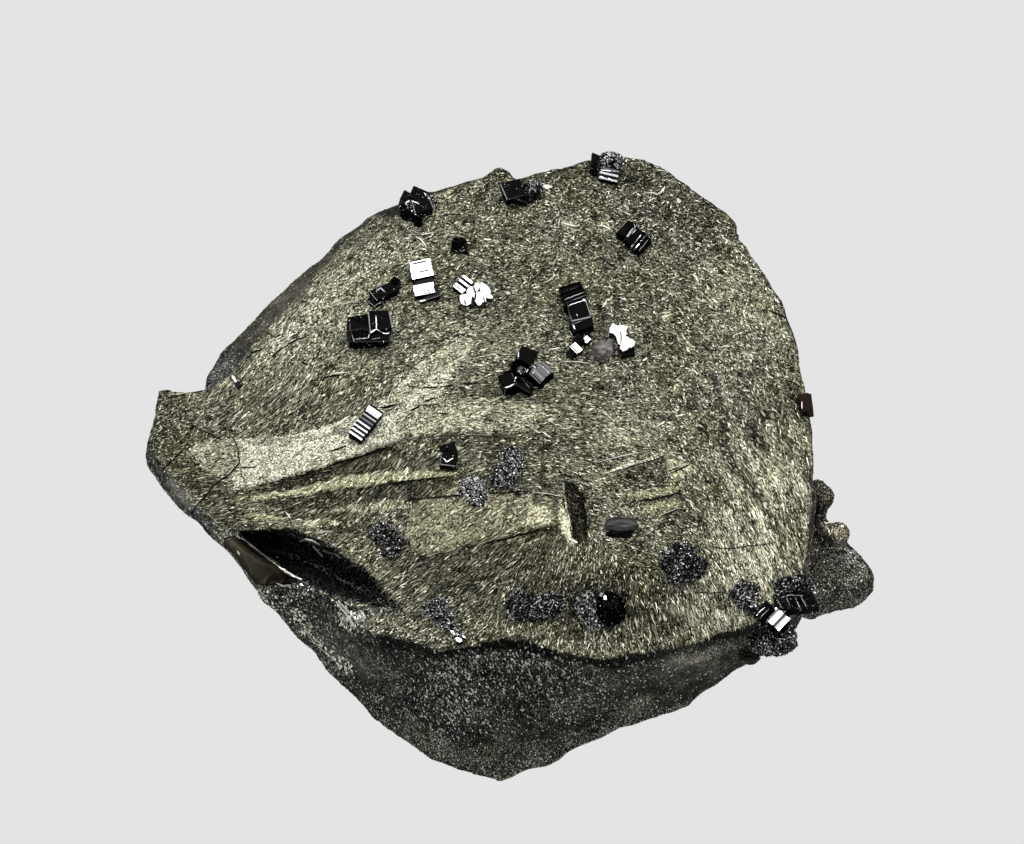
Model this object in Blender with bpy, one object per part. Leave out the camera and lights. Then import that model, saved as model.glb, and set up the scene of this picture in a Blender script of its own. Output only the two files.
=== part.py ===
# Freibergite crystal with bournonite crystals on its top face.
# The solids are modelled in millimetres and written in metres, +Z up.
# The origin is on the flat base, under the middle of the specimen.

import math
import random

import bmesh
import bpy
from mathutils import Matrix, Vector, geometry, noise

MM = 0.001

# Driving dimensions, in millimetres
GAP = 0.3              # free space between a small crystal and the face that carries it
SEAT_REACH = 20.0      # plan distance at which the widened seat stands off by the gap
EDGE_REACH = 2.0       # crystals closer to the rim than this also keep clear of the walls
SINK = 1.6             # how far a small crystal's stem reaches down before its seat is cut
BEVEL_FOOT = 13.0      # height of the lower edge of the long bevel at the back left
TOP_SPACING = 2.6      # distance between the points that carry the top face's waves
RIM_STEP = 2.0         # usual distance between the points of the rim and the walls
LEDGE_HALF = 0.12      # half of the plan width of a growth step
TOP_WAVE = 0.10        # unevenness of the top face
WALL_WAVE = 0.9        # unevenness of the side walls
PLATE_WAVE = 0.4       # unevenness of the low plate's faces
BALL_WAVE = 0.12       # unevenness of the knobs, as a share of their radius
WAVE_LENGTH = 5.0      # size of those bumps
SHOULDER = 0.3         # share of the way from the rim to the belt where the shoulder ring lies
LOW_RING = 0.55        # share of the way from the belt to the base where the lowest bulge lies
LOW_BULGE = 0.7        # how far that ring stands out
TAPER = 0.15           # share of a ledge's length over which it rises from nothing
PLAN_SHIFT = (0.0, -0.34)   # moves the whole plan so that the box is centred on the origin
STAR = (-0.8, -6.0)    # point of the plan that every wall point is seen from

# The top face is a low dome of five flat faces, each a height with its slopes along x and y
TOP_FACES = {
    "crown": (20.0, 0.02, -0.04),
    "back": (22.5, -0.02, -0.20),
    "left": (22.0, 0.22, 0.0),
    "right": (27.0, -0.42, 0.0),
    "front": (21.5, 0.0, 0.22),
}
BEND = 0.8             # softness of the bends between those faces

# Seeds of the bumps, one for each surface
BUMPS = {"top": 3.0, "walls": 7.0, "low walls": 11.0, "plate base": 2.0, "plate top": 5.0, "balls": 9.0}

# Edge of the top face, counterclockwise from the left tip
RIM = [
    (-32.9, -0.7), (-31.4, -3.2), (-29.2, -6.1), (-26.9, -8.7), (-24.6, -10.8), (-23.1, -13.1),
    (-21.9, -14.8), (-19.7, -14.6), (-17.0, -14.9), (-14.8, -16.8), (-12.5, -18.4), (-9.8, -19.1),
    (-6.2, -20.2), (-3.5, -19.8), (-0.8, -19.0), (1.9, -19.3), (4.6, -20.3), (8.2, -20.8),
    (12.7, -20.2), (16.3, -19.6), (19.0, -18.5), (21.7, -17.6), (23.9, -17.2), (25.7, -15.1),
    (26.5, -12.6), (26.7, -9.2), (27.2, -5.3), (27.4, -2.4), (27.2, 1.4), (26.9, 4.2),
    (26.2, 7.9), (25.5, 10.7), (24.4, 13.4), (23.0, 15.9), (21.4, 18.4), (20.2, 19.6),
    (20.6, 20.4), (18.5, 22.4), (16.3, 24.3), (14.0, 26.2), (12.2, 27.0), (10.4, 27.3),
    (8.2, 27.0), (5.5, 26.4), (2.8, 25.7), (0.5, 24.6), (-0.1, 25.6), (-1.0, 26.2),
    (-2.6, 25.0), (-4.9, 24.1), (-7.1, 23.1), (-9.8, 21.4), (-11.4, 19.4), (-13.6, 17.5),
    (-15.8, 15.1), (-18.1, 12.4), (-20.2, 10.0), (-22.4, 8.0), (-24.4, 6.2), (-26.5, 4.8),
    (-28.2, 4.9), (-29.6, 5.2), (-30.7, 5.6), (-31.4, 5.5), (-31.9, 4.5), (-32.2, 2.1),
]

# Lower edge of the bevel, from the back round to the left tip
BEVEL = [
    (-2.6, 26.7), (-6.2, 25.6), (-9.8, 24.2), (-12.1, 23.1), (-14.3, 21.6), (-16.1, 20.1),
    (-18.8, 17.1), (-21.5, 14.6), (-24.2, 11.6), (-26.5, 8.9), (-27.7, 6.9),
]

# Widest outline of the body below the top face, with the height of each point
BELT = [
    (-32.0, -0.7, 8), (-30.6, -2.8, 8), (-28.3, -4.6, 8), (-24.6, -7.6, 8), (-22.8, -10.6, 7),
    (-20.3, -13.5, 6), (-17.6, -16.4, 5), (-14.8, -19.3, 4), (-12.3, -21.8, 4), (-9.8, -23.8, 3),
    (-7.1, -25.8, 3), (-4.4, -26.9, 3), (-2.2, -27.4, 2.5), (0.1, -27.5, 2.5), (2.3, -26.6, 3),
    (4.6, -25.5, 3.5), (8.2, -23.9, 4.5), (12.7, -22.6, 5.5), (15.8, -21.8, 6), (19.0, -19.4, 7),
    (22.6, -17.6, 8.5), (25.3, -17.1, 9), (26.6, -12.7, 8), (26.9, -9.0, 8.5), (27.2, -5.0, 9),
    (27.3, -2.0, 9), (27.1, 1.4, 9), (26.8, 4.2, 9), (26.3, 8.0, 9), (25.0, 14.0, 9),
    (21.8, 19.6, 9), (18.8, 23.4, 9), (14.2, 27.0, 9), (10.5, 28.2, 9), (5.5, 27.4, 9),
    (0.0, 26.6, 9), (-2.6, 26.2, 9), (-6.0, 25.2, 9), (-12.0, 22.6, 9), (-15.9, 19.7, 9),
    (-21.2, 14.2, 9), (-26.1, 8.6, 9), (-27.3, 6.7, 9), (-29.5, 4.6, 8), (-31.0, 3.8, 8),
    (-31.5, 1.5, 8),
]

# Swellings of the front wall, or pinches where the first number is negative: depth, x, half width
FRONT_LOBES = [(0.9, 3.0, 9.0), (-1.1, -9.5, 3.0)]

# Flat base that the specimen rests on
FOOT = [
    (-20, -6), (-12, -16), (-3, -23), (3, -24), (12, -19), (20, -14),
    (24, -4), (24, 8), (18, 18), (8, 22), (-6, 20), (-18, 10),
]

# Growth steps of the top face: the high side lies to the left of each line
LEDGES = {
    "band_top": dict(rise=0.45, fade=6.0, line=[
        (-27.4, 0.3), (-22.2, -0.3), (-17.0, -0.3), (-13.2, 0.2), (-10.0, 2.4), (-8.0, 4.4),
        (-5.6, 6.7), (-1.7, 9.6)]),
    "band_foot": dict(rise=0.55, fade=5.0, line=[
        (-24.7, -5.7), (-22.2, -4.3), (-18.4, -4.1), (-15.2, -3.0), (-12.1, -1.7), (-9.8, -1.0),
        (-3.5, -0.7), (2.8, -0.8), (8.2, -1.7)]),
    "stripe_foot": dict(rise=0.40, fade=4.0, line=[
        (-21.5, -6.5), (-16.1, -5.7), (-9.8, -5.0), (-5.3, -4.7), (-0.8, -4.4), (3.2, -4.7)]),
    "pale_end": dict(rise=0.70, fade=3.0, line=[
        (5.0, -11.9), (4.3, -9.5), (3.9, -7.7), (4.4, -5.4)]),
    "pale_foot": dict(rise=0.50, fade=4.0, line=[
        (-10.3, -13.0), (-6.2, -11.6), (-0.8, -10.1), (3.4, -9.6)]),
    "wedge_left": dict(rise=0.45, fade=3.0, line=[(8.4, -4.9), (11.8, -3.8), (13.9, -2.9)]),
    "wedge_right": dict(rise=0.30, fade=2.5, line=[(14.8, -4.1), (17.2, -3.1)]),
    "wedge_low": dict(rise=0.35, fade=3.0, line=[(9.1, -7.1), (12.2, -6.8), (16.3, -5.6)]),
}

# The open cleft at the lower left: its mouth in plan, and the line of its bottom with depths
CLEFT_MOUTH = [
    (-25.6, -8.4), (-19.7, -9.0), (-15.7, -10.4), (-13.2, -12.7), (-10.1, -16.2),
    (-12.4, -15.9), (-15.9, -14.7), (-19.0, -13.1), (-22.6, -11.0),
]
CLEFT_BOTTOM = [(-22.6, -9.7, 1.6), (-17.4, -11.0, 3.6), (-14.2, -13.2, 3.0)]
# The narrow notch beside the end of the pale band, in the same way
NOTCH_MOUTH = [
    (4.9, -4.9), (6.3, -5.4), (7.4, -7.4), (7.2, -9.6), (6.8, -11.0), (5.9, -10.3), (5.2, -8.2),
]
NOTCH_BOTTOM = [(5.8, -6.2, 0.9), (6.3, -8.6, 1.3)]
MOUTH_LIFT = 2.5       # how far the cutters stand above the top face
MOUTH_FLARE = 0.12     # how much wider they are up there

# Low plate that juts out at the right, and the round knobs that grow on it
FLANGE = [
    (25.2, -2.2), (27.3, -0.7), (28.2, -0.9), (28.7, -1.9), (28.5, -3.4), (28.2, -4.3),
    (29.1, -5.1), (30.7, -6.0), (31.8, -6.8), (32.9, -8.5), (32.9, -9.9), (31.8, -11.0),
    (29.3, -11.9), (27.3, -12.4), (24.8, -11.8),
]
FLANGE_TOP = 7.0
FLANGE_BOTTOM = 3.2
KNOBS = [(28.3, -2.2, 7.6, 1.3), (28.2, -4.9, 7.4, 0.9), (29.7, -5.6, 7.5, 1.2), (27.9, -0.9, 6.6, 0.9)]

# Rounded lumps along the crest between the cleft and the rim: place and radius
CREST = [
    (-20.9, -13.9, 0.8), (-19.2, -13.9, 1.0), (-17.2, -14.2, 0.9), (-15.5, -15.7, 1.1),
    (-13.4, -17.2, 0.9),
]
CREST_SINK = 0.35      # share of its radius that each lump's middle lies below the face

# Forms of the small crystals, as shares of their own sizes unless a length is named
RIB_SHOULDER = 0.72    # height at which a ribbed prism's sides turn in
RIB_START, RIB_END = 0.14, 0.80   # flat crown of a rib within its pitch
RIB_UNEVEN = 0.04      # how much the ribs differ in height
GROOVE_DEPTH = 0.22    # deepest groove, in millimetres
END_LEAN = 0.07        # how much a prism's ends lean in over its height
BLOCK_CHAMFER = 0.14
LUMP_CORNERS = 34
GOLDEN_TURN = math.pi * (3.0 - math.sqrt(5.0))

FINISHES = {
    "freibergite": dict(colour=(0.14, 0.135, 0.10), metallic=0.85, roughness=0.42),
    "black": dict(colour=(0.02, 0.02, 0.022), metallic=0.6, roughness=0.15),
    "bright": dict(colour=(0.55, 0.56, 0.58), metallic=1.0, roughness=0.12),
    "dusty": dict(colour=(0.13, 0.13, 0.14), metallic=0.5, roughness=0.6),
    "quartz": dict(colour=(0.42, 0.36, 0.35), metallic=0.0, roughness=0.3),
}


def top_face(x, y):
    heights = [base + along * x + across * y for base, along, across in TOP_FACES.values()]
    low = min(heights)
    return low - BEND * math.log(sum(math.exp((low - h) / BEND) for h in heights))


def ledge_lift(ledge, x, y):
    line = [Vector(p) for p in ledge["line"]]
    here = Vector((x, y))
    lengths = [(b - a).length for a, b in zip(line, line[1:])]
    nearest, side, reach = 1e9, 0.0, 0.0
    run = 0.0
    for a, b, length in zip(line, line[1:], lengths):
        along = (b - a) / length
        t = min(max((here - a).dot(along), 0.0), length)
        off = here - (a + along * t)
        if off.length < nearest:
            nearest = off.length
            side = along.x * (here.y - a.y) - along.y * (here.x - a.x)
            reach = (run + t) / sum(lengths)
        run += length
    if side <= 0.0:
        return 0.0
    taper = min(1.0, reach / TAPER, (1.0 - reach) / TAPER)
    return ledge["rise"] * taper * math.exp(-nearest / ledge["fade"])


def surface(x, y):
    return top_face(x, y) + sum(ledge_lift(ledge, x, y) for ledge in LEDGES.values())


def wave(x, y, z, surface_name):
    return noise.noise(Vector((x, y, z)) / WAVE_LENGTH + Vector((BUMPS[surface_name], 0.0, 0.0)))


def bearing(point):
    return math.atan2(point[1] - STAR[1], point[0] - STAR[0]) % math.tau


def ring_point(outline, angle):
    # The point of a closed outline that is seen from STAR in the direction of the angle
    sight = Vector((math.cos(angle), math.sin(angle)))
    best = None
    for a, b in zip(outline, outline[1:] + outline[:1]):
        pa, pb = Vector(a[:2]) - Vector(STAR), Vector(b[:2]) - Vector(STAR)
        ca, cb = sight.cross(pa), sight.cross(pb)
        if ca <= 0.0 < cb:
            t = ca / (ca - cb)
            point = Vector(a).lerp(Vector(b), t)
            if best is None or (point.xy - Vector(STAR)).dot(sight) > (best.xy - Vector(STAR)).dot(sight):
                best = point
    return best


def refined(outline):
    points = []
    for a, b in zip(outline, outline[1:] + outline[:1]):
        a, b = Vector(a), Vector(b)
        pieces = max(1, round((b - a).length / RIM_STEP))
        points += [a.lerp(b, i / pieces) for i in range(pieces)]
    return points


def parallel(line, offset):
    points = [Vector(p) for p in line]
    shifted = []
    for i, point in enumerate(points):
        along = (points[min(i + 1, len(points) - 1)] - points[max(i - 1, 0)]).normalized()
        shifted.append(point + Vector((-along.y, along.x)) * offset)
    return shifted


def inside(point, outline):
    crossings = 0
    for a, b in zip(outline, outline[1:] + outline[:1]):
        if (a[1] > point[1]) != (b[1] > point[1]):
            if point[0] < a[0] + (point[1] - a[1]) / (b[1] - a[1]) * (b[0] - a[0]):
                crossings += 1
    return crossings % 2 == 1


def top_mesh(bm, rim):
    # A net of triangles over the top face, with an edge along both sides of every ledge
    points = [p.copy() for p in rim]
    edges = [(i, (i + 1) % len(rim)) for i in range(len(rim))]
    for ledge in LEDGES.values():
        for side in (LEDGE_HALF, -LEDGE_HALF):
            first = len(points)
            points += parallel(ledge["line"], side)
            edges += [(i, i + 1) for i in range(first, len(points) - 1)]
    fixed = list(points)
    left, right = min(p.x for p in rim), max(p.x for p in rim)
    front, back = min(p.y for p in rim), max(p.y for p in rim)
    row_height = TOP_SPACING * math.sin(math.radians(60))
    for row in range(int((back - front) / row_height) + 1):
        indent = 0.5 * (row % 2)
        for column in range(int((right - left) / TOP_SPACING) + 1):
            spot = Vector((left + (column + indent) * TOP_SPACING, front + row * row_height))
            clear = all((spot - other).length > TOP_SPACING * 0.45 for other in fixed)
            if clear and inside(spot, rim):
                points.append(spot)
    found, _, faces, _, _, _ = geometry.delaunay_2d_cdt(points, edges, [], 1, 1e-5)
    verts = []
    for x, y in found:
        on_rim = min((Vector((x, y)) - p).length for p in rim) < 1e-3
        rough = 0.0 if on_rim else TOP_WAVE * wave(x * 2, y * 2, 0.0, "top")
        verts.append(bm.verts.new((x, y, surface(x, y) + rough)))
    for face in faces:
        centre = sum((found[i] for i in face), Vector((0.0, 0.0))) / len(face)
        if inside(centre, rim):
            bm.faces.new([verts[i] for i in face])


def front_form(x, out):
    # The front wall swells in broad lobes and is pinched between them
    front = max(0.0, -out.y)
    return sum(swell * front * math.exp(-((x - middle) / width) ** 2) for swell, middle, width in FRONT_LOBES)


def wall_rings(rim):
    start, end = bearing(BEVEL[0]), bearing(BEVEL[-1])
    bevel = [(x, y, BEVEL_FOOT) for x, y in BEVEL]
    foot = [(x, y, 0.0) for x, y in FOOT]
    rings = [[], [], [], [], [], [], []]
    for point in rim:
        angle = bearing(point)
        out = Vector((math.cos(angle), math.sin(angle), 0.0))
        edge = Vector((point.x, point.y, surface(point.x, point.y)))
        widest = ring_point(BELT, angle)
        ground = ring_point(foot, angle)
        on_bevel = start < angle < end
        upper = ring_point(bevel, angle) if on_bevel else edge.lerp(widest, SHOULDER)
        centre = upper.lerp(widest, 0.5)
        above = upper.lerp(centre, 0.5)
        swell = 0.0 if on_bevel else front_form(centre.x, out)
        for body, share in ((upper, 0.25 if on_bevel else 0.6), (above, 0.9), (centre, 1.0)):
            body += out * (WALL_WAVE * share * wave(*body, "walls") + swell)
        lower = widest.lerp(ground, LOW_RING) + out * (LOW_BULGE + WALL_WAVE * wave(*widest, "low walls"))
        for ring, body in zip(rings, (edge, upper, above, centre, widest, lower, ground)):
            ring.append(body)
    return rings


def host_body():
    bm = bmesh.new()
    rim = refined(RIM)
    top_mesh(bm, rim)
    rings = [[bm.verts.new(p) for p in ring] for ring in wall_rings(rim)]
    count = len(rim)
    for above, below in zip(rings, rings[1:]):
        for i in range(count):
            j = (i + 1) % count
            bm.faces.new((above[i], below[i], below[j], above[j]))
    bm.faces.new(list(reversed(rings[-1])))
    bmesh.ops.remove_doubles(bm, verts=bm.verts, dist=1e-3)
    bmesh.ops.triangulate(bm, faces=bm.faces)
    bmesh.ops.recalc_face_normals(bm, faces=bm.faces)
    return bm


def hull(points):
    bm = bmesh.new()
    for point in points:
        bm.verts.new(point)
    result = bmesh.ops.convex_hull(bm, input=bm.verts)
    spare = [g for g in result["geom_interior"] + result["geom_unused"] if isinstance(g, bmesh.types.BMVert)]
    bmesh.ops.delete(bm, geom=list(set(spare)), context="VERTS")
    bmesh.ops.triangulate(bm, faces=bm.faces)
    bmesh.ops.recalc_face_normals(bm, faces=bm.faces)
    return bm


def wedge(mouth, bottom):
    points = [(x, y, surface(x, y)) for x, y in mouth]
    middle = Vector((sum(p[0] for p in mouth), sum(p[1] for p in mouth))) / len(mouth)
    for x, y in mouth:
        lifted = Vector((x, y)) + (Vector((x, y)) - middle) * MOUTH_FLARE
        points.append((lifted.x, lifted.y, surface(x, y) + MOUTH_LIFT))
    points += [(x, y, surface(x, y) - depth) for x, y, depth in bottom]
    return hull(points)


def slab(outline, bottom, top):
    bm = bmesh.new()
    low = [bm.verts.new((x, y, bottom + PLATE_WAVE * wave(x, y, 0.0, "plate base"))) for x, y in outline]
    middle = sum((v.co for v in low), Vector()) / len(low)
    high = []
    for x, y in outline:
        edge = Vector((x, y, top - PLATE_WAVE * (1.0 - wave(x * 2, y * 2, 0.0, "plate top"))))
        high.append(bm.verts.new(edge.lerp(Vector((middle.x, middle.y, edge.z)), 0.10)))
    waist = [bm.verts.new((x, y, (bottom + top) / 2)) for x, y in outline]
    crown = bm.verts.new((middle.x, middle.y, top))
    count = len(outline)
    for i in range(count):
        j = (i + 1) % count
        bm.faces.new((low[i], low[j], waist[j], waist[i]))
        bm.faces.new((waist[i], waist[j], high[j], high[i]))
        bm.faces.new((high[i], high[j], crown))
    bm.faces.new(list(reversed(low)))
    bmesh.ops.triangulate(bm, faces=bm.faces)
    bmesh.ops.recalc_face_normals(bm, faces=bm.faces)
    return bm


def ball(x, y, z, radius):
    bm = bmesh.new()
    bmesh.ops.create_icosphere(bm, subdivisions=2, radius=radius)
    for vert in bm.verts:
        vert.co *= 1.0 + BALL_WAVE * wave(*(vert.co * 6.0), "balls")
        vert.co += Vector((x, y, z))
    return bm


def ribbed(size, seed, ribs):
    # A prism with V grooves along its length, as a cogwheel twin shows in side view
    length, width, height = size
    draw = random.Random(seed)
    shoulder = height * RIB_SHOULDER
    profile = [(-width / 2, -SINK), (-width / 2, shoulder)]
    pitch = width / ribs
    for i in range(ribs):
        left = -width / 2 + i * pitch
        crown = height * (1.0 - 0.35 * abs((i + 0.5) / ribs - 0.5) + draw.uniform(-RIB_UNEVEN, RIB_UNEVEN))
        profile += [(left + pitch * RIB_START, crown), (left + pitch * RIB_END, crown)]
        if i < ribs - 1:
            profile.append((left + pitch, crown - min(GROOVE_DEPTH, pitch * 0.45)))
    profile += [(width / 2, shoulder), (width / 2, -SINK)]
    bm = bmesh.new()
    ends = []
    for end in (-1, 1):
        ring = []
        for y, z in profile:
            lean = END_LEAN * length * z / height
            ring.append(bm.verts.new((end * (length / 2 - lean), y, z)))
        ends.append(ring)
    count = len(profile)
    for i in range(count):
        j = (i + 1) % count
        bm.faces.new((ends[0][i], ends[0][j], ends[1][j], ends[1][i]))
    bm.faces.new(ends[0])
    bm.faces.new(list(reversed(ends[1])))
    bmesh.ops.recalc_face_normals(bm, faces=bm.faces)
    return bm


def block(size, seed, ribs):
    # A flat-faced block with narrow chamfers
    half = Vector((size[0] / 2, size[1] / 2, size[2]))
    chamfer = BLOCK_CHAMFER * min(size)
    points = []
    for sx in (-1, 1):
        for sy in (-1, 1):
            points += [(sx * (half.x - chamfer), sy * half.y, half.z - chamfer),
                       (sx * half.x, sy * (half.y - chamfer), half.z - chamfer),
                       (sx * (half.x - chamfer), sy * (half.y - chamfer), half.z),
                       (sx * (half.x - chamfer), sy * half.y, -SINK),
                       (sx * half.x, sy * (half.y - chamfer), -SINK)]
    return hull(points)


def lump(size, seed, ribs):
    # A rounded grain with many small flat faces
    length, width, height = size
    draw = random.Random(seed)
    points = []
    for i in range(LUMP_CORNERS):
        turn = i * GOLDEN_TURN
        rise = 0.98 - i / LUMP_CORNERS
        flat = math.sqrt(max(0.0, 1.0 - rise * rise))
        reach = draw.uniform(0.86, 1.0)
        x, y = length / 2 * flat * math.cos(turn), width / 2 * flat * math.sin(turn)
        points.append((x * reach, y * reach, height * max(0.0, rise) ** 0.8 * reach))
    lowest = points[-LUMP_CORNERS // 3:]
    points += [(x * 0.9, y * 0.9, -SINK) for x, y, z in lowest]
    return hull(points)


# Small crystals: plan place, finish, and the grains that each is made of.
# A grain is its shape, (length, width, height), (x, y) from the place, turn, tilt and ribs.
CRYSTALS = {
    "bournonite_back_edge_cluster": ((-8.7, 21.0), "dusty", [
        (block, (2.3, 1.7, 1.7), (-0.5, -0.1), 25, 8, 0), (block, (1.8, 1.5, 1.9), (0.9, 0.3), -20, -10, 0),
        (lump, (1.8, 1.6, 1.0), (0.4, -0.8), 0, 0, 0)]),
    "bournonite_edge_twin": ((1.1, 22.6), "black", [
        (block, (1.8, 1.6, 1.7), (-0.5, 0.0), 15, 10, 0), (block, (1.5, 1.3, 1.2), (0.8, 0.1), -30, -8, 0)]),
    "bournonite_back_cogwheel": ((9.0, 25.2), "dusty", [
        (ribbed, (2.5, 2.5, 2.1), (0.0, 0.0), 80, 0, 6)]),
    "bournonite_ribbed_drum": ((11.2, 18.2), "black", [
        (ribbed, (2.3, 2.6, 1.9), (0.0, 0.0), 55, 0, 7)]),
    "bournonite_black_grain": ((-4.6, 18.0), "black", [
        (block, (1.3, 1.1, 0.9), (0.0, 0.0), 30, 5, 0)]),
    "bournonite_bright_plates": ((-7.7, 14.5), "bright", [
        (ribbed, (1.8, 2.5, 1.3), (-0.15, 0.7), 100, 2, 6),
        (ribbed, (1.5, 2.4, 1.1), (0.18, -0.8), 97, -3, 6)]),
    "bournonite_dark_splinter": ((-11.2, 13.2), "black", [
        (block, (2.9, 1.2, 1.0), (0.0, 0.0), 32, 6, 0), (block, (1.1, 1.0, 0.8), (-0.9, -0.7), 10, 0, 0)]),
    "bournonite_black_block": ((-12.4, 9.3), "black", [
        (ribbed, (2.3, 3.8, 1.9), (0.0, 0.0), 95, 0, 6)]),
    "bournonite_white_cluster": ((-3.3, 12.9), "bright", [
        (block, (1.7, 1.3, 1.3), (-0.9, 0.2), 35, 12, 0), (block, (1.5, 1.3, 1.4), (0.5, -0.4), -25, 8, 0),
        (block, (1.4, 1.1, 1.1), (0.9, 0.8), 60, -10, 0)]),
    "bournonite_large_cogwheel": ((6.2, 11.5), "black", [
        (ribbed, (2.6, 4.1, 2.2), (0.0, 0.0), 155, 0, 8)]),
    "bournonite_small_bright_pair": ((6.4, 7.7), "bright", [
        (block, (1.3, 1.1, 1.0), (-0.2, -0.42), 20, 6, 0), (block, (1.3, 1.1, 0.9), (0.28, 0.5), 27, 6, 0)]),
    "quartz_grain": ((8.5, 7.4), "quartz", [
        (lump, (1.9, 1.7, 1.3), (0.0, 0.0), 20, 0, 0)]),
    "bournonite_mirror_knot": ((10.4, 8.3), "bright", [
        (lump, (1.5, 1.6, 1.3), (-0.35, 0.5), 0, 0, 0), (block, (1.3, 1.2, 1.2), (0.3, -0.4), 35, 10, 0)]),
    "bournonite_black_triplet": ((1.5, 5.2), "black", [
        (ribbed, (2.6, 2.4, 2.1), (-1.0, 0.4), 80, 0, 5), (ribbed, (2.4, 2.3, 2.0), (1.1, 0.1), 55, 0, 5),
        (ribbed, (2.0, 2.2, 1.4), (0.3, -1.2), 10, 0, 4)]),
    "bournonite_ribbed_plate": ((-12.9, 0.5), "bright", [
        (ribbed, (1.8, 3.4, 1.2), (0.0, 0.0), 150, 0, 8)]),
    "bournonite_small_black_pair": ((-5.4, -3.0), "black", [
        (block, (1.1, 1.0, 1.1), (0.1, 0.5), 15, 5, 0), (block, (1.2, 1.0, 0.9), (-0.1, -0.5), -10, 5, 0)]),
    "bournonite_dusty_upper": ((-0.1, -4.1), "dusty", [
        (lump, (2.8, 3.2, 1.4), (0.0, 0.0), 10, 0, 0), (block, (1.3, 1.2, 1.6), (-0.5, 0.4), 30, 5, 0)]),
    "bournonite_dusty_lower": ((-3.1, -6.2), "dusty", [
        (lump, (2.7, 3.0, 1.4), (0.0, 0.0), 50, 0, 0), (block, (1.4, 1.2, 1.5), (0.4, -0.3), 15, 5, 0)]),
    "bournonite_dusty_left": ((-10.9, -10.6), "dusty", [
        (lump, (3.0, 3.2, 1.5), (0.0, 0.0), 80, 0, 0), (block, (1.5, 1.3, 1.7), (0.2, 0.6), 40, 8, 0)]),
    "bournonite_smooth_knob": ((10.3, -9.4), "dusty", [
        (block, (2.6, 1.8, 1.1), (0.0, 0.0), 8, 4, 0)]),
    "bournonite_dusty_right": ((15.8, -12.2), "dusty", [
        (lump, (4.2, 3.7, 1.5), (0.0, 0.0), 30, 0, 0), (block, (1.7, 1.5, 1.7), (-0.8, 0.5), 20, 6, 0),
        (block, (1.4, 1.3, 1.5), (0.9, -0.6), 55, 6, 0)]),
    "bournonite_dusty_front": ((-6.6, -16.7), "dusty", [
        (lump, (3.2, 2.8, 1.3), (-0.3, 0.3), 0, 0, 0), (lump, (1.9, 1.6, 1.0), (1.0, -1.0), 40, 0, 0)]),
    "bournonite_dusty_long": ((2.3, -16.2), "dusty", [
        (lump, (3.2, 2.9, 1.5), (-0.8, 0.0), 0, 0, 0), (lump, (2.6, 2.4, 1.2), (1.3, 0.2), 30, 0, 0)]),
    "bournonite_black_dome": ((8.5, -16.6), "black", [
        (lump, (4.0, 3.7, 2.1), (0.4, 0.0), 10, 0, 0), (block, (1.6, 1.6, 1.3), (-1.6, -0.1), 25, 6, 0)]),
    "bournonite_corner_cluster": ((23.7, -16.6), "black", [
        (ribbed, (3.6, 2.9, 2.2), (1.9, 1.0), 10, 0, 6), (lump, (2.8, 2.6, 1.9), (-2.6, 1.4), 0, 0, 0),
        (ribbed, (2.4, 1.8, 1.9), (0.2, -0.9), 40, 0, 5), (lump, (3.6, 3.0, 1.3), (0.2, -1.6), 20, 0, 0),
        (lump, (3.4, 2.2, 1.2), (-0.6, 0.3), 0, 0, 0)]),
    "bournonite_edge_grain": ((26.4, 3.9), "dusty", [
        (block, (1.0, 1.9, 1.2), (0.0, 0.0), 0, 0, 0)]),
    "bournonite_bevel_grain": ((-23.9, 5.6), "bright", [
        (block, (0.8, 1.2, 0.7), (0.0, 0.0), 10, 0, 0)]),
}


def finish_material(name, finish):
    values = FINISHES[finish]
    material = bpy.data.materials.new(name)
    material.use_nodes = True
    shader = material.node_tree.nodes["Principled BSDF"]
    shader.inputs["Base Color"].default_value = (*values["colour"], 1.0)
    shader.inputs["Metallic"].default_value = values["metallic"]
    shader.inputs["Roughness"].default_value = values["roughness"]
    return material


def add_object(name, bm, scale=MM):
    mesh = bpy.data.meshes.new(name)
    bmesh.ops.transform(bm, matrix=Matrix.Scale(scale, 4), verts=bm.verts)
    bm.to_mesh(mesh)
    bm.free()
    obj = bpy.data.objects.new(name, mesh)
    bpy.context.scene.collection.objects.link(obj)
    return obj


def add_tool(name, bm):
    tool = add_object(name, bm)
    tool.hide_render = True
    tool.display_type = "WIRE"
    return tool


def boolean(obj, operation, tool):
    modifier = obj.modifiers.new(f"{operation.lower()} {tool.name}", "BOOLEAN")
    modifier.operation = operation
    modifier.solver = "EXACT"
    modifier.object = tool


def build_host():
    host = add_object("freibergite_crystal", host_body())
    host.data.materials.append(finish_material("freibergite_crystal", "freibergite"))
    boolean(host, "UNION", add_tool("flange_body", slab(FLANGE, FLANGE_BOTTOM, FLANGE_TOP)))
    for number, knob in enumerate(KNOBS, 1):
        boolean(host, "UNION", add_tool(f"knob_body_{number}", ball(*knob)))
    for number, (x, y, radius) in enumerate(CREST, 1):
        height = surface(x, y) - CREST_SINK * radius
        boolean(host, "UNION", add_tool(f"crest_body_{number}", ball(x, y, height, radius)))
    boolean(host, "DIFFERENCE", add_tool("cleft_cutter", wedge(CLEFT_MOUTH, CLEFT_BOTTOM)))
    boolean(host, "DIFFERENCE", add_tool("notch_cutter", wedge(NOTCH_MOUTH, NOTCH_BOTTOM)))
    return host


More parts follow.
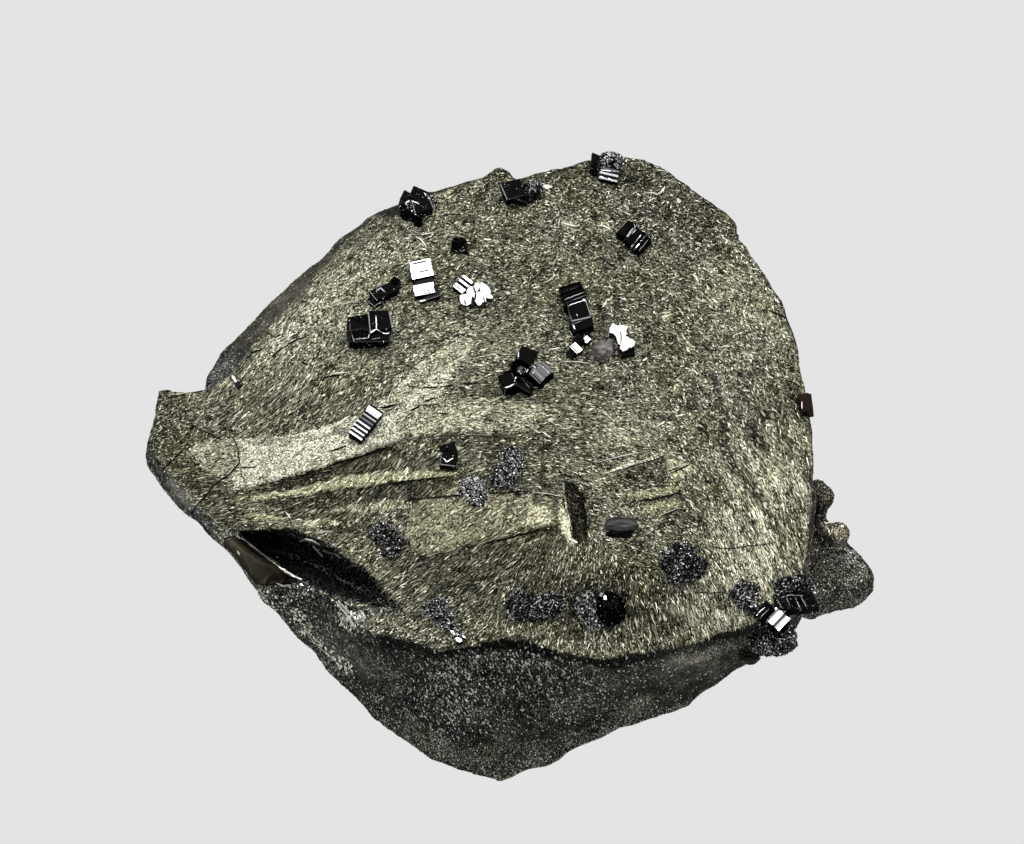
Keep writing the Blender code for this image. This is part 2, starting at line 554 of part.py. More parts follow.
def seat_tools(host):
    # The host's own form, once raised and once widened, so that a crystal keeps clear of it
    bpy.context.view_layer.update()
    finished = host.evaluated_get(bpy.context.evaluated_depsgraph_get())
    raised = bmesh.new()
    raised.from_mesh(finished.to_mesh())
    wide = raised.copy()
    spread = 1.0 + GAP / SEAT_REACH
    bmesh.ops.translate(raised, vec=(0.0, 0.0, GAP * MM), verts=raised.verts)
    bmesh.ops.scale(wide, vec=(spread, spread, 1.0), verts=wide.verts)
    tools = []
    for name, bm in (("raised_seat", raised), ("wide_seat", wide)):
        tools.append(add_object(name, bm, 1.0))
        tools[-1].hide_render = True
        tools[-1].display_type = "WIRE"
    return tools


def near_rim(x, y, reach):
    around = [(x + reach * math.cos(turn), y + reach * math.sin(turn)) for turn in range(6)]
    return not all(inside(point, RIM) for point in around)


def build_crystal(name, seed, raised_seat, wide_seat):
    (x, y), finish, grains = CRYSTALS[name]
    crystal = None
    for number, (shape, size, offset, turn, tilt, ribs) in enumerate(grains):
        bm = shape(size, seed * 10 + number, ribs)
        place = Matrix.Translation((x + offset[0], y + offset[1], surface(x + offset[0], y + offset[1])))
        place @= Matrix.Rotation(math.radians(turn), 4, "Z") @ Matrix.Rotation(math.radians(tilt), 4, "Y")
        bmesh.ops.transform(bm, matrix=place, verts=bm.verts)
        if crystal is None:
            crystal = add_object(name, bm)
            crystal.data.materials.append(finish_material(name, finish))
        else:
            boolean(crystal, "UNION", add_tool(f"{name}_grain_{number}", bm))
    boolean(crystal, "DIFFERENCE", raised_seat)
    if near_rim(x, y, EDGE_REACH):
        boolean(crystal, "DIFFERENCE", wide_seat)
    return crystal


def main():
    for obj in list(bpy.data.objects):
        bpy.data.objects.remove(obj, do_unlink=True)
    origin = bpy.data.objects.new("specimen_origin", None)
    origin.location = Vector((*PLAN_SHIFT, 0.0)) * MM
    bpy.context.scene.collection.objects.link(origin)
    host = build_host()
    seats = seat_tools(host)
    for seed, name in enumerate(CRYSTALS, 1):
        build_crystal(name, seed, *seats)
    for piece in bpy.data.objects:
        if piece is not origin:
            piece.parent = origin


main()
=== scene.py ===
import math
import random

import bmesh
import bpy
import numpy as np
from mathutils import Matrix, Vector, kdtree, noise
from mathutils.bvhtree import BVHTree


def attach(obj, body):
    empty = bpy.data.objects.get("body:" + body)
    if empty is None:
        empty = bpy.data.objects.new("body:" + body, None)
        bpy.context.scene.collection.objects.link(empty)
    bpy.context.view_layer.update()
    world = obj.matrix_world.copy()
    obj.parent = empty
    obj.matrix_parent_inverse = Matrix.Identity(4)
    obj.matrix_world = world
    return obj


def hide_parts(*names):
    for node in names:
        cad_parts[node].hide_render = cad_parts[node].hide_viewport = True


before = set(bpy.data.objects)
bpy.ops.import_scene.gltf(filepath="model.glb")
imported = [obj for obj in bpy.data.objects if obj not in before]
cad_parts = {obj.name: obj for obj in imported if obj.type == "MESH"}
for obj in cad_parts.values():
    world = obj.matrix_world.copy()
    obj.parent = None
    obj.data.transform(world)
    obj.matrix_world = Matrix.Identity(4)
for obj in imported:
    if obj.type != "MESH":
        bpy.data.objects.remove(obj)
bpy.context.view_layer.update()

mm = 0.001
scene = bpy.context.scene
print("frame loaded,", len(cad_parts), "nodes")

# The camera looks down on the etched face; one pixel of the photo is 0.09 mm on the specimen
photoView = {
    "width": 1024, "height": 844,
    "millimetresPerPixel": 0.09,
    "elevation": 70.0,
    "lens": 400.0, "sensor": 36.0,
    "target": (0.27, 2.38, 14.0),      # the point in the middle of the picture, in mm
}


def cameraAxes():
    tilt = math.radians(photoView["elevation"])
    forward = Vector((0.0, math.cos(tilt), -math.sin(tilt)))
    right = Vector((1.0, 0.0, 0.0))
    return right, right.cross(forward), forward


def cameraPlace():
    span = photoView["width"] * photoView["millimetresPerPixel"] * mm
    distance = span / photoView["sensor"] * photoView["lens"]
    return Vector(photoView["target"]) * mm - cameraAxes()[2] * distance


focalPixels = photoView["width"] * photoView["lens"] / photoView["sensor"]


def makeCamera():
    data = bpy.data.cameras.new("photoCamera")
    data.lens, data.sensor_width = photoView["lens"], photoView["sensor"]
    data.clip_start, data.clip_end = 0.01, 10.0
    camera = bpy.data.objects.new("photoCamera", data)
    right, up, forward = cameraAxes()
    turn = Matrix((right, up, -forward)).transposed().to_4x4()
    camera.matrix_world = Matrix.Translation(cameraPlace()) @ turn
    scene.collection.objects.link(camera)
    scene.camera = camera


def photoSpots(points):
    # Where points of the specimen, in metres, stand in the photo, in pixels
    right, up, forward = (np.array(axis) for axis in cameraAxes())
    offset = np.asarray(points) - np.array(cameraPlace())
    depth = offset @ forward
    x = photoView["width"] / 2 + offset @ right / depth * focalPixels
    y = photoView["height"] / 2 - offset @ up / depth * focalPixels
    return np.stack([x, y], 1)


def photoRay(spot):
    right, up, forward = cameraAxes()
    x = (spot[0] - photoView["width"] / 2) / focalPixels
    y = (photoView["height"] / 2 - spot[1]) / focalPixels
    return cameraPlace(), (forward + right * x + up * y).normalized()


makeCamera()


# Small helpers for node trees
def addNode(tree, kind, values=None, **settings):
    made = tree.nodes.new(kind)
    for name, value in settings.items():
        setattr(made, name, value)
    for key, value in (values or {}).items():
        if isinstance(value, bpy.types.NodeSocket):
            tree.links.new(value, made.inputs[key])
        else:
            made.inputs[key].default_value = value
    return made


def calc(tree, operation, a, b, clamp=False):
    return addNode(tree, "ShaderNodeMath", {0: a, 1: b}, operation=operation, use_clamp=clamp).outputs[0]


def centred(tree, value, strength):
    # A swing about zero, from a value between 0 and 1
    return calc(tree, "MULTIPLY", calc(tree, "SUBTRACT", value, 0.5), strength)


def stepUp(tree, value, low, high):
    # 0 below low, 1 above high, smooth between
    values = {"Value": value, "From Min": low, "From Max": high}
    return addNode(tree, "ShaderNodeMapRange", values, interpolation_type="SMOOTHSTEP").outputs[0]


def mixColours(tree, factor, a, b):
    return addNode(tree, "ShaderNodeMix", {0: factor, 6: a, 7: b}, data_type="RGBA").outputs[2]


def toneRamp(tree, value, stops):
    ramp = addNode(tree, "ShaderNodeValToRGB", {0: value})
    elements = ramp.color_ramp.elements
    while len(elements) < len(stops):
        elements.new(0.5)
    for element, (place, colour) in zip(elements, stops):
        element.position, element.color = place, (*colour, 1.0)
    return ramp.outputs[0]


def named(tree, name):
    return addNode(tree, "ShaderNodeAttribute", attribute_name=name).outputs["Fac"]


def millimetres(tree, turn=0.0, stretch=(1.0, 1.0, 1.0)):
    # Object coordinates in mm, turned about Z by degrees and stretched
    place = addNode(tree, "ShaderNodeTexCoord").outputs["Object"]
    spin = addNode(tree, "ShaderNodeMapping", {"Vector": place, "Rotation": (0, 0, -math.radians(turn))})
    scale = tuple(1.0 / (mm * s) for s in stretch)
    return addNode(tree, "ShaderNodeMapping", {"Vector": spin.outputs[0], "Scale": scale}).outputs[0]


def speckle(tree, vector, size, detail=2.0, roughness=0.5):
    values = {"Vector": vector, "Scale": 1.0 / size, "Detail": detail, "Roughness": roughness}
    return addNode(tree, "ShaderNodeTexNoise", values).outputs[0]


def vectorMath(tree, operation, a, b, output=0):
    return addNode(tree, "ShaderNodeVectorMath", {0: a, 1: b}, operation=operation).outputs[output]


def facets(tree, vector, size, strength):
    # Height of small flat faces, each tilted its own way
    cells = addNode(tree, "ShaderNodeTexVoronoi", {"Vector": vector, "Scale": 1.0 / size}).outputs
    scaled = vectorMath(tree, "MULTIPLY", vector, (1.0 / size,) * 3)
    away = vectorMath(tree, "SUBTRACT", scaled, cells["Position"])
    tilt = vectorMath(tree, "SUBTRACT", cells["Color"], (0.5, 0.5, 0.5))
    return calc(tree, "MULTIPLY", vectorMath(tree, "DOT_PRODUCT", away, tilt, "Value"), strength)


def newMaterial(name):
    material = bpy.data.materials.new(name)
    material.use_nodes = True
    return material, material.node_tree, material.node_tree.nodes["Principled BSDF"]


def linkInto(tree, shader, **sockets):
    keys = {"colour": "Base Color", "metallic": "Metallic", "roughness": "Roughness", "normal": "Normal"}
    for name, value in sockets.items():
        socket = shader.inputs[keys[name]]
        if isinstance(value, bpy.types.NodeSocket):
            tree.links.new(value, socket)
        else:
            socket.default_value = value


# The fine surface of the big crystal
hostShape = {
    "voxel": 0.35,             # mm between the points of the fine surface
    "nearOutline": (3.5, 1.8), # pixels, the surface is made finer this near to an outline, twice
    "steep": 0.80,             # normals below this belong to walls
    "lowestTop": 12.5,         # mm, the etched face lies above this
    "smallIsland": 30.0,       # mm2, steep strips smaller than this are growth steps
    "lookFloor": 7.0,          # mm, outlines from the photo count above this height
    "rimSample": 0.12,         # mm between the points that mark the edge of the etched face
    "beyondEdge": 3.0,         # mm, the most that an outline may carry the etched look past that edge
    "glassGap": 0.4,           # mm, the glassy facet is looked for this far off the surface
    "restingFoot": (0.4, 1.6), # mm, between these heights the walls turn rough
}

# Noise over the host: size in mm, shift of the pattern, strength
hostNoise = {
    "edge": (0.9, 6.0, 0.30), "wobbleAcross": (0.6, 3.0, 1.3), "wobbleDown": (0.6, 9.0, 1.3),
    "cloud": (2.2, 1.0, 0.10), "smallCloud": (0.8, 5.0, 0.12), "darkSpot": (0.7, 8.0, 1.0),
    "warmth": (4.0, 11.0, 0.40), "warmSpot": (1.2, 12.0, 0.25), "topRough": (1.6, 4.0, 0.05),
    "wallCloud": (3.0, 1.0, 0.18), "wallSpot": (0.9, 5.0, 0.16), "wallWarmth": (3.0, 13.0, 0.3),
    "wallRough": (2.6, 7.0, 0.28), "wallGrain": (0.7, 2.0, 0.07),
}

# Clear-cut patches of the etched face, outlined in photo pixels: share of pale grains, rise in mm,
# and where it differs from the rest, how soft its edge is in pixels, how thickly grains lie on it,
# how cloudy, warm and ragged it is
crispPatches = {
    "paleBand": dict(light=0.77, rise=0.10, cover=0.22, clouds=0.7, warm=0.30, outline=[
        (190, 450), (207, 442), (235, 438.5), (263, 437.6), (280, 437), (306, 431.6), (336, 422.6),
        (358, 415.5), (379, 403.6), (400, 400), (425, 405), (440, 418), (420, 434), (400, 440), (384, 447),
        (370, 452), (350, 458), (320, 468), (300, 473), (275, 481), (250, 487), (232, 491), (222, 482),
        (203, 464)]),
    "dullBandEnd": dict(light=0.60, rise=0.0, edge=4.0, cover=0.6, warm=0.5, outline=[
        (186, 450), (207, 440), (236, 438), (240, 450), (236, 470), (232, 492), (222, 484), (200, 466)]),
    "bandRise": dict(light=0.71, rise=0.08, edge=0.9, cover=0.4, clouds=0.9, outline=[
        (370, 409), (379, 403.6), (396, 388.6), (418, 364), (440, 349), (462, 336), (474, 342), (462, 362),
        (448, 380), (440, 402), (430, 414), (400, 412)]),
    "bandMiddle": dict(light=0.64, rise=0.05, edge=4.0, cover=0.6, warm=0.6, outline=[
        (396, 420), (430, 402), (470, 398), (520, 402), (560, 410), (560, 422), (520, 432), (470, 432),
        (430, 436), (404, 440)]),
    "shadowUnderBand": dict(light=0.13, rise=-0.12, cover=0.15, outline=[
        (250, 492), (300, 475), (350, 460), (376, 450), (392, 446), (398, 451), (410, 458), (398, 468),
        (379, 471), (347, 474), (306, 486), (280, 492)]),
    "greenStripe": dict(light=0.66, rise=0.06, cover=0.2, clouds=0.5, warm=0.9, outline=[
        (250, 497), (280, 492), (306, 486), (328, 479), (347, 474.6), (379, 472), (422, 471), (457, 472),
        (452, 478), (422, 479), (390, 483), (358, 487.5), (326, 490), (311, 495), (280, 497), (250, 502)]),
    "shadowUnderStripe": dict(light=0.18, rise=-0.10, cover=0.2, clouds=0.9, outline=[
        (246, 503), (280, 498), (311, 496), (326, 491), (358, 488), (390, 484), (422, 480), (452, 479),
        (457, 487), (444, 495), (412, 497), (379, 500), (358, 506), (336, 509), (293, 509)]),
    "streakRight": dict(light=0.58, rise=0.04, edge=0.8, cover=0.4, warm=0.6, outline=[
        (330, 508), (360, 504), (390, 500), (404, 501), (402, 508), (380, 513), (350, 513), (332, 511)]),
    "streakLeft": dict(light=0.64, rise=0.04, edge=0.8, cover=0.35, warm=1.0, outline=[
        (238, 516), (262, 514), (284, 515), (286, 518), (262, 520), (240, 520)]),
    "streakShade": dict(light=0.15, rise=-0.05, edge=0.8, cover=0.3, outline=[
        (270, 513), (296, 511), (330, 514), (352, 514), (344, 518), (318, 519), (290, 518), (272, 516)]),
    "streakMiddle": dict(light=0.62, rise=0.04, edge=0.8, cover=0.4, warm=0.7, outline=[
        (288, 521), (306, 519), (326, 521), (344, 521), (340, 525), (318, 527), (296, 525)]),
    "streakFoot": dict(light=0.18, rise=-0.05, edge=0.8, cover=0.4, outline=[
        (318, 529), (340, 526), (366, 525), (380, 529), (362, 533), (336, 534)]),
    "satinPatch": dict(light=0.49, rise=0.05, edge=1.2, cover=0.35, clouds=0.6, warm=0.8, outline=[
        (418, 499), (440, 500), (470, 497), (493, 494), (530, 497), (563, 500), (566, 512), (560, 524),
        (546, 529), (524, 532), (496, 540), (468, 545), (440, 554), (415, 552), (405, 535), (408, 515)]),
    "paleCorner": dict(light=0.78, rise=0.08, edge=0.8, cover=0.2, clouds=0.6, outline=[
        (530, 508), (545, 505), (553, 516), (549, 525), (534, 529), (526, 520)]),
    "darkLens": dict(light=0.22, rise=-0.10, edge=1.4, cover=0.3, ragged=1.6, outline=[
        (450, 556), (470, 545), (500, 537), (530, 530), (552, 526), (562, 532), (545, 541), (510, 548),
        (480, 556)]),
    # The notch: a painted highlight along its edge, painted shade on its floor
    "edgeOfNotch": dict(light=0.88, rise=0.10, edge=0.6, cover=0.1, clouds=0.6, outline=[
        (562, 506), (566, 512), (571, 534), (576, 545), (570, 548), (566, 540), (561, 530), (558, 515)]),
    "notchFloor": dict(light=0.04, rise=-0.15, edge=2.0, cover=0.25, ragged=2.6, outline=[
        (563, 481), (572, 483), (583, 497), (588, 515), (587, 540), (579, 547), (573, 530), (566, 505)]),
    # A painted highlight along the wedge's upper edge
    "brightSliverLeft": dict(light=0.90, rise=0.12, edge=0.6, cover=0.1, clouds=0.4, outline=[
        (603, 474), (620, 465), (645, 457), (664, 454.5), (652, 461), (628, 469), (610, 475)]),
    "paleWedge": dict(light=0.60, rise=0.06, cover=0.3, outline=[
        (612, 468), (628, 458), (645, 452), (664, 452), (650, 459), (630, 464)]),
    "wedgeFace": dict(light=0.28, rise=-0.08, cover=0.8, outline=[
        (614, 477), (640, 468), (664, 458), (668, 474), (664, 488), (640, 490), (622, 486)]),
    "brightWedgeEnd": dict(light=0.66, rise=0.08, cover=0.4, warm=0.9, outline=[
        (666, 458), (692, 464), (684, 478), (672, 488), (667, 474)]),
    "greenWedge": dict(light=0.56, rise=0.05, cover=0.3, warm=0.9, outline=[
        (620, 494), (650, 488), (684, 485), (676, 494), (650, 498), (630, 501)]),
    "lowWedge": dict(light=0.56, rise=0.05, cover=0.3, warm=1.0, outline=[
        (640, 508), (672, 498), (684, 502), (676, 512), (660, 517), (648, 514)]),
    "smoothRightEdge": dict(light=0.36, rise=0.0, cover=0.0, clouds=0.3, warm=0.0, outline=[
        (806, 484), (814, 480), (815, 520), (811, 560), (805, 562), (807, 520)]),
}

# Broad soft changes of tone over the face: middle, reach in pixels, lighter or darker. Some of them are
# painted light: white glint spots, the shine of the right slope, and painted shade in pits and beside and
# under the small crystals
softTones = {
    "duskyLeftTip": ((168, 425), (26, 46), -0.14),
    "duskyLeftFoot": ((222, 515), (40, 30), -0.06),
    "warmUpperLeft": ((320, 300), (80, 75), 0.22),
    "paleNearLeftStep": ((225, 392), (30, 16), 0.16),
    "paleChips": ((282, 340), (22, 30), 0.16),
    "greyTop": ((560, 215), (130, 50), -0.06), "greyUpper": ((500, 290), (110, 50), -0.05),
    "greyRight": ((700, 400), (50, 60), -0.06), "rightBelow": ((650, 560), (60, 40), -0.05),
    # Small white spots painted as glints
    "paintedGlintA": ((570, 224), (8, 3), 0.42), "paintedGlintB": ((604, 228), (7, 4), 0.38),
    "paintedGlintC": ((652, 194), (6, 2.5), 0.45), "paintedGlintD": ((480, 262), (5, 3), 0.30),
    # Painted shine low on the right slope
    "shineLow": ((770, 555), (34, 30), 0.10), "shineCorner": ((745, 575), (26, 14), 0.10),
    "darkUpperRight": ((680, 205), (80, 50), -0.07),
    # Painted shade in two pits and beside and under the small crystals
    "pitLow": ((575, 603), (7, 9), -0.40), "pitMiddle": ((548, 484), (14, 4), -0.35),
    "shadeOfUpperLump": ((508, 470), (22, 26), -0.14), "shadeOfDome": ((598, 612), (36, 24), -0.14),
    "shadeOfRightLump": ((684, 566), (30, 26), -0.08), "shadeOfLeftLump": ((386, 545), (22, 24), -0.10),
    "darkBackRim": ((560, 175), (110, 14), -0.12),
    "hatchedBand": ((300, 405), (70, 26), 0.12), "hatchUnderBand": ((425, 464), (26, 7), 0.10),
    "aboveRightBend": ((770, 400), (26, 40), -0.07),
    "darkLowLeft": ((205, 500), (34, 20), -0.04),
    "sparklingUpperBand": ((480, 345), (60, 26), 0.16),
    "sparklingMiddleBand": ((520, 405), (70, 20), 0.04),
    "paleRightOfMiddle": ((625, 430), (36, 24), 0.26),
    "farRight": ((745, 320), (60, 60), 0.11),
    # Painted shine of the right slope, and the darker place beside it
    "rightShine": ((755, 545), (56, 56), 0.30),
    "rightShineLow": ((765, 590), (28, 16), 0.14),
    "rightShineUpper": ((785, 470), (34, 40), 0.14),
    "darkBesideShine": ((690, 500), (30, 36), -0.08),
    "duskyMiddle": ((500, 450), (60, 16), -0.10),
    "duskyLow": ((500, 590), (110, 32), -0.08),
    "lowFront": ((625, 600), (90, 40), -0.11),
    "lowRight": ((715, 608), (42, 26), 0.34),
    "satinFoot": ((560, 580), (50, 22), -0.12), "rightOfTop": ((690, 220), (50, 40), -0.06),
    "rightFar": ((700, 330), (44, 50), -0.04), "upperLeftPale": ((330, 330), (60, 50), -0.03),
    "leftStreaks": ((285, 515), (60, 12), 0.14),
    "yellowFloor": ((430, 540), (50, 24), 0.05),
}
plainLight = 0.40          # share of pale grains where nothing else is said
plainEdge = 0.7            # pixels over which a patch fades at its edge

# Which way the grains run: middle, reach in pixels, degrees from the right, spread in degrees
grainRuns = {
    "leftTip": ((180, 430), 40, 20, 60),
    "hatching": ((285, 402), 55, 52, 9),
    "hatchingRight": ((370, 385), 30, 45, 40),
    "converging": ((230, 480), 42, 4, 16),
    "underBand": ((380, 463), 60, 52, 14),
    "underStripe": ((350, 497), 70, 50, 12),
    "streaks": ((300, 516), 60, 3, 8),
    "band": ((310, 452), 45, 10, 85),
    "bandUpper": ((430, 375), 40, 20, 60),
    "middleDashes": ((520, 400), 80, 2, 22),
    "upperDashes": ((470, 335), 60, 6, 30),
    "bendDown": ((590, 465), 50, -25, 25),
    "satin": ((470, 520), 50, 38, 18),
    "satinLow": ((440, 580), 60, 35, 18),
    "lens": ((510, 545), 35, 42, 12),
    "lowMiddle": ((560, 610), 60, 80, 40),
    "meridians": ((680, 610), 60, -72, 14),
    "shine": ((770, 530), 60, -64, 16),
    "shineUp": ((770, 440), 50, -50, 40),
    "rightCross": ((690, 330), 90, -30, 75),
    "topCross": ((590, 240), 100, 10, 75),
    "topLeftCross": ((350, 290), 80, 35, 50),
    "middleCross": ((660, 540), 40, 0, 80),
}

# Long strokes: middle, reach in pixels, how thickly they lie (thin strokes, broad flakes)
strokeRuns = {
    "hatching": ((285, 402), (62, 26), 1.0, 0.1),
    "hatchingRight": ((352, 398), (36, 22), 0.45, 0.25),
    "leftDashes": ((208, 396), (26, 14), 0.7, 0.3),
    "converging": ((212, 480), (34, 34), 0.9, 0.0),
    "underBand": ((345, 466), (58, 8), 1.0, 0.0),
    "underBandRight": ((415, 464), (34, 11), 1.0, 0.5),
    "underStripe": ((365, 493), (64, 9), 1.0, 0.1),
    "streaks": ((300, 516), (66, 9), 0.9, 0.4),
    "stripe": ((370, 480), (60, 5), 0.0, 0.6),
    "middleDashes": ((530, 405), (76, 18), 0.4, 1.0),
    "upperDashes": ((480, 350), (44, 26), 0.2, 0.9),
    "satin": ((480, 525), (70, 24), 0.7, 0.1),
    "satinLow": ((450, 580), (70, 30), 0.8, 0.0),
    "lens": ((510, 545), (40, 9), 0.9, 0.0),
    "meridians": ((690, 612), (80, 34), 0.9, 0.3),
    "shine": ((765, 540), (52, 70), 0.3, 0.8),
    "shineUp": ((778, 455), (30, 50), 0.3, 0.9),
    "upperRight": ((660, 320), (90, 80), 0.1, 0.3),
    "paleRight": ((620, 430), (40, 22), 0.2, 0.5),
    "upperLeftChips": ((290, 325), (50, 50), 0.0, 0.4),
}

# Where the etched look goes farther or less far than the solid's edge says, in photo pixels
lookOutlines = {
    "etchedBeyond": [
        (371, 216), (348, 240), (333, 257), (312, 282), (290, 306), (266, 332), (246, 355), (228, 376),
        (205, 390), (215, 420), (320, 420), (430, 300), (430, 215)],
    "satinCorner": [
        (222, 534), (237, 533), (262, 553), (300, 580), (345, 603), (385, 610), (399, 611), (372, 617),
        (364, 630), (340, 642), (230, 640), (200, 560), (205, 530)],
    "satinLeftRim": [
        (140, 436), (149, 440), (156, 457), (168, 471), (182, 489), (196, 504), (212, 519), (224, 533),
        (200, 540), (150, 470)],
    "glassFacet": [
        (222, 539), (237, 536), (250, 545), (268, 560), (284, 571), (301, 580), (288, 585), (266, 585),
        (248, 583), (236, 568), (228, 553)],
    "lipShadow": [
        (380, 638), (410, 642), (438, 651), (470, 645), (503, 639), (530, 643), (546, 648), (596, 659),
        (640, 653), (700, 640), (740, 625), (744, 632), (705, 649), (645, 661), (596, 668), (546, 658),
        (530, 653), (503, 649), (470, 654), (438, 660), (410, 652), (380, 647)],
    # The cleft, painted near-black inside as its shade
    "lens": [
        (238, 532), (263, 530), (293, 528), (315, 539), (336, 552), (364, 567), (379, 586), (401, 608),
        (379, 607), (347, 600), (323, 590), (302, 578), (280, 566), (263, 553), (246, 540)],
}

# Tones of the walls as seen in the photo: middle, reach in pixels, change of light, of warmth. The lip
# entries paint the shade below the rim, and flangeGlint paints a glint
wallTones = {
    "sheenLeft": ((462, 672), (26, 34), -0.12, 0.0),
    "sheenRight": ((530, 672), (36, 26), -0.14, 0.0),
    "sheenFoot": ((440, 705), (40, 22), -0.04, 0.0),
    "frontLeft": ((345, 655), (40, 30), 0.20, 0.0),
    "leftEdge": ((318, 648), (24, 22), 0.10, 0.0),
    "crest": ((300, 600), (50, 14), -0.06, 0.0),
    # Painted shade below the rim of the face
    "underLipShade": ((480, 640), (80, 8), -0.34, 0.0),
    "underLipShadeRight": ((590, 652), (50, 6), -0.30, 0.0),
    "frontRight": ((690, 655), (44, 22), 0.32, 0.2),
    "frontRightFoot": ((630, 705), (46, 18), 0.12, 0.3),
    "front": ((560, 690), (90, 40), -0.02, 0.1),
    "frontFoot": ((490, 755), (90, 20), -0.04, 0.1),
    "frontMiddle": ((560, 730), (50, 24), -0.05, 0.0),
    "flange": ((845, 565), (34, 40), 0.42, 0.7),
    "flangeGlint": ((832, 528), (8, 8), 0.45, 0.1),
    "flangeFoot": ((830, 600), (24, 8), 0.14, 0.2),
    "knobs": ((834, 502), (14, 18), 0.08, 1.1),
    "knobRight": ((846, 530), (9, 9), 0.02, 0.8),
    "bevel": ((285, 290), (90, 90), 0.24, 0.4),
    "bevelFoot": ((215, 375), (20, 20), 0.10, -0.6),
    "backRim": ((560, 170), (110, 14), 0.06, 0.6),
    "leftRim": ((180, 495), (24, 34), 0.14, 0.0),
}
plainWall = 0.47           # share of pale grains on the walls

# What changes the face and the walls: shares of light, of grain cover and of glitter
hostLook = {
    "strokeShade": 0.17, "darkSpots": 0.28, "lipShade": 0.30,
    "coverUnderThin": 0.8, "coverUnderBroad": 0.3, "plainGaps": 0.35, "plainWarmth": 0.5,
    "hiddenWall": 0.05, "hiddenWarmth": 0.2, "wallWarmth": 0.1, "wallSpread": 40.0,
    "calmGlitter": 0.8, "calmCover": 0.85, "coverUnderLip": 0.7, "pitCover": 0.9,
}
wallDown = (0.25, -0.30, -0.90)    # which way grains lie on the walls

# Streaks in the painted shine of the right side, in photo pixels, degrees and mm
shineStreaks = {"spot": {"shine": ((765, 500), (60, 110), 1.0)}, "lean": -64.0, "length": 4.5,
                "depth": 0.2, "size": 0.9, "shift": 2.0, "strength": 0.85}

# Where the walls are quiet: middle, reach in pixels, how quiet
calmWalls = {
    "bevel": ((285, 290), (90, 90), 0.9), "bevelEnd": ((400, 215), (60, 30), 0.7),
    "leftRim": ((180, 495), (30, 40), 0.85), "tip": ((150, 420), (14, 40), 0.8),
    "flange": ((850, 560), (36, 50), 0.45), "rightEdge": ((811, 520), (6, 60), 0.9),
    "frontFoot": ((560, 750), (140, 26), 0.6), "frontRight": ((690, 680), (80, 40), 0.8),
    "frontLeft": ((352, 655), (44, 40), 0.7), "frontLeftFoot": ((410, 730), (40, 26), 0.4),
}

# Where steep silvery strokes of painted sheen lie on the front wall: middle, reach in pixels, how thickly
sheenSpots = {
    "left": ((455, 670), (26, 40), 0.9), "middle": ((478, 655), (22, 16), 0.7),
    "right": ((532, 668), (36, 28), 0.8), "farRight": ((590, 660), (50, 24), 0.35),
    "foot": ((450, 715), (26, 22), 0.4), "all": ((520, 690), (110, 50), 0.12),
}

# Where glossy chips flash on the walls, their flashes partly painted as pale tones: middle, reach in pixels,
# how thickly they lie
glintSpots = {
    "lip": ((346, 614), (9, 14), 1.0), "lipEnd": ((362, 620), (12, 9), 0.8),
    "hollowRim": ((378, 606), (22, 5), 0.6), "crestTop": ((306, 590), (12, 8), 0.7),
    "crestLeft": ((284, 600), (10, 8), 0.6), "crestTip": ((263, 596), (7, 6), 0.7),
    "crestFoot": ((300, 618), (8, 9), 0.7), "edgeHigh": ((306, 633), (5, 6), 1.0),
    "edgeUpper": ((315, 643), (6, 7), 1.0), "edgeMiddle": ((326, 654), (6, 6), 0.8),
    "edgeLower": ((337, 663), (6, 6), 1.0), "edgeLow": ((347, 670), (6, 5), 0.8),
    "flangeNeck": ((832, 527), (9, 8), 0.5), "bevelFoot": ((238, 381), (4, 9), 0.5),
    "frontSpark": ((484, 722), (3, 2), 1.0),
    "lensTop": ((313, 541), (9, 5), 0.5), "lensChip": ((328, 553), (9, 4), 0.35),
}


def outlineDistance(spots, outline):
    # Distance in pixels to a closed outline, positive inside it
    corners = np.array(outline, float)
    nearest = np.full(len(spots), 1e9)
    within = np.zeros(len(spots), bool)
    for a, b in zip(corners, np.roll(corners, -1, 0)):
        edge = b - a
        share = np.clip((spots - a) @ edge / (edge @ edge), 0, 1)
        nearest = np.minimum(nearest, np.linalg.norm(spots - a - share[:, None] * edge, axis=1))
        spans = (a[1] > spots[:, 1]) != (b[1] > spots[:, 1])
        rise = edge[1] if abs(edge[1]) > 1e-9 else 1e-9
        within ^= spans & (spots[:, 0] < a[0] + (spots[:, 1] - a[1]) / rise * edge[0])
    return np.where(within, nearest, -nearest)


def smooth(values, low, high):
    share = np.clip((values - low) / (high - low), 0, 1)
    return share * share * (3 - 2 * share)


def mergedCopy(node):
    # A welded copy of a CAD node's loose triangles
    bm = bmesh.new()
    bm.from_mesh(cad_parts[node].data)
    bmesh.ops.remove_doubles(bm, verts=bm.verts, dist=1e-6)
    return bm


def newObject(name, mesh):
    made = bpy.data.objects.new(name, mesh)
    scene.collection.objects.link(made)
    return made


def evaluatedMesh(obj):
    bpy.context.view_layer.update()
    finished = obj.evaluated_get(bpy.context.evaluated_depsgraph_get())
    return bpy.data.meshes.new_from_object(finished)


def dropObject(obj):
    mesh = obj.data
    bpy.data.objects.remove(obj)
    bpy.data.meshes.remove(mesh)


def etchedFaces(bm):
    # Which faces of the CAD crystal belong to its etched top face
    bm.faces.ensure_lookup_table()
    lowest = hostShape["lowestTop"] * mm
    steep = [f.normal.z < hostShape["steep"] or f.calc_center_median().z < lowest for f in bm.faces]
    isTop = [not s for s in steep]
    seen = set()
    for face in bm.faces:
        if not steep[face.index] or face.index in seen:
            continue
        island, front = [], [face]
        seen.add(face.index)
        while front:
            here = front.pop()
            island.append(here)
            for edge in here.edges:
                for other in edge.link_faces:
                    if steep[other.index] and other.index not in seen:
                        seen.add(other.index)
                        front.append(other)
        if sum(f.calc_area() for f in island) < hostShape["smallIsland"] * mm * mm:
            for f in island:
                isTop[f.index] = True
    return isTop


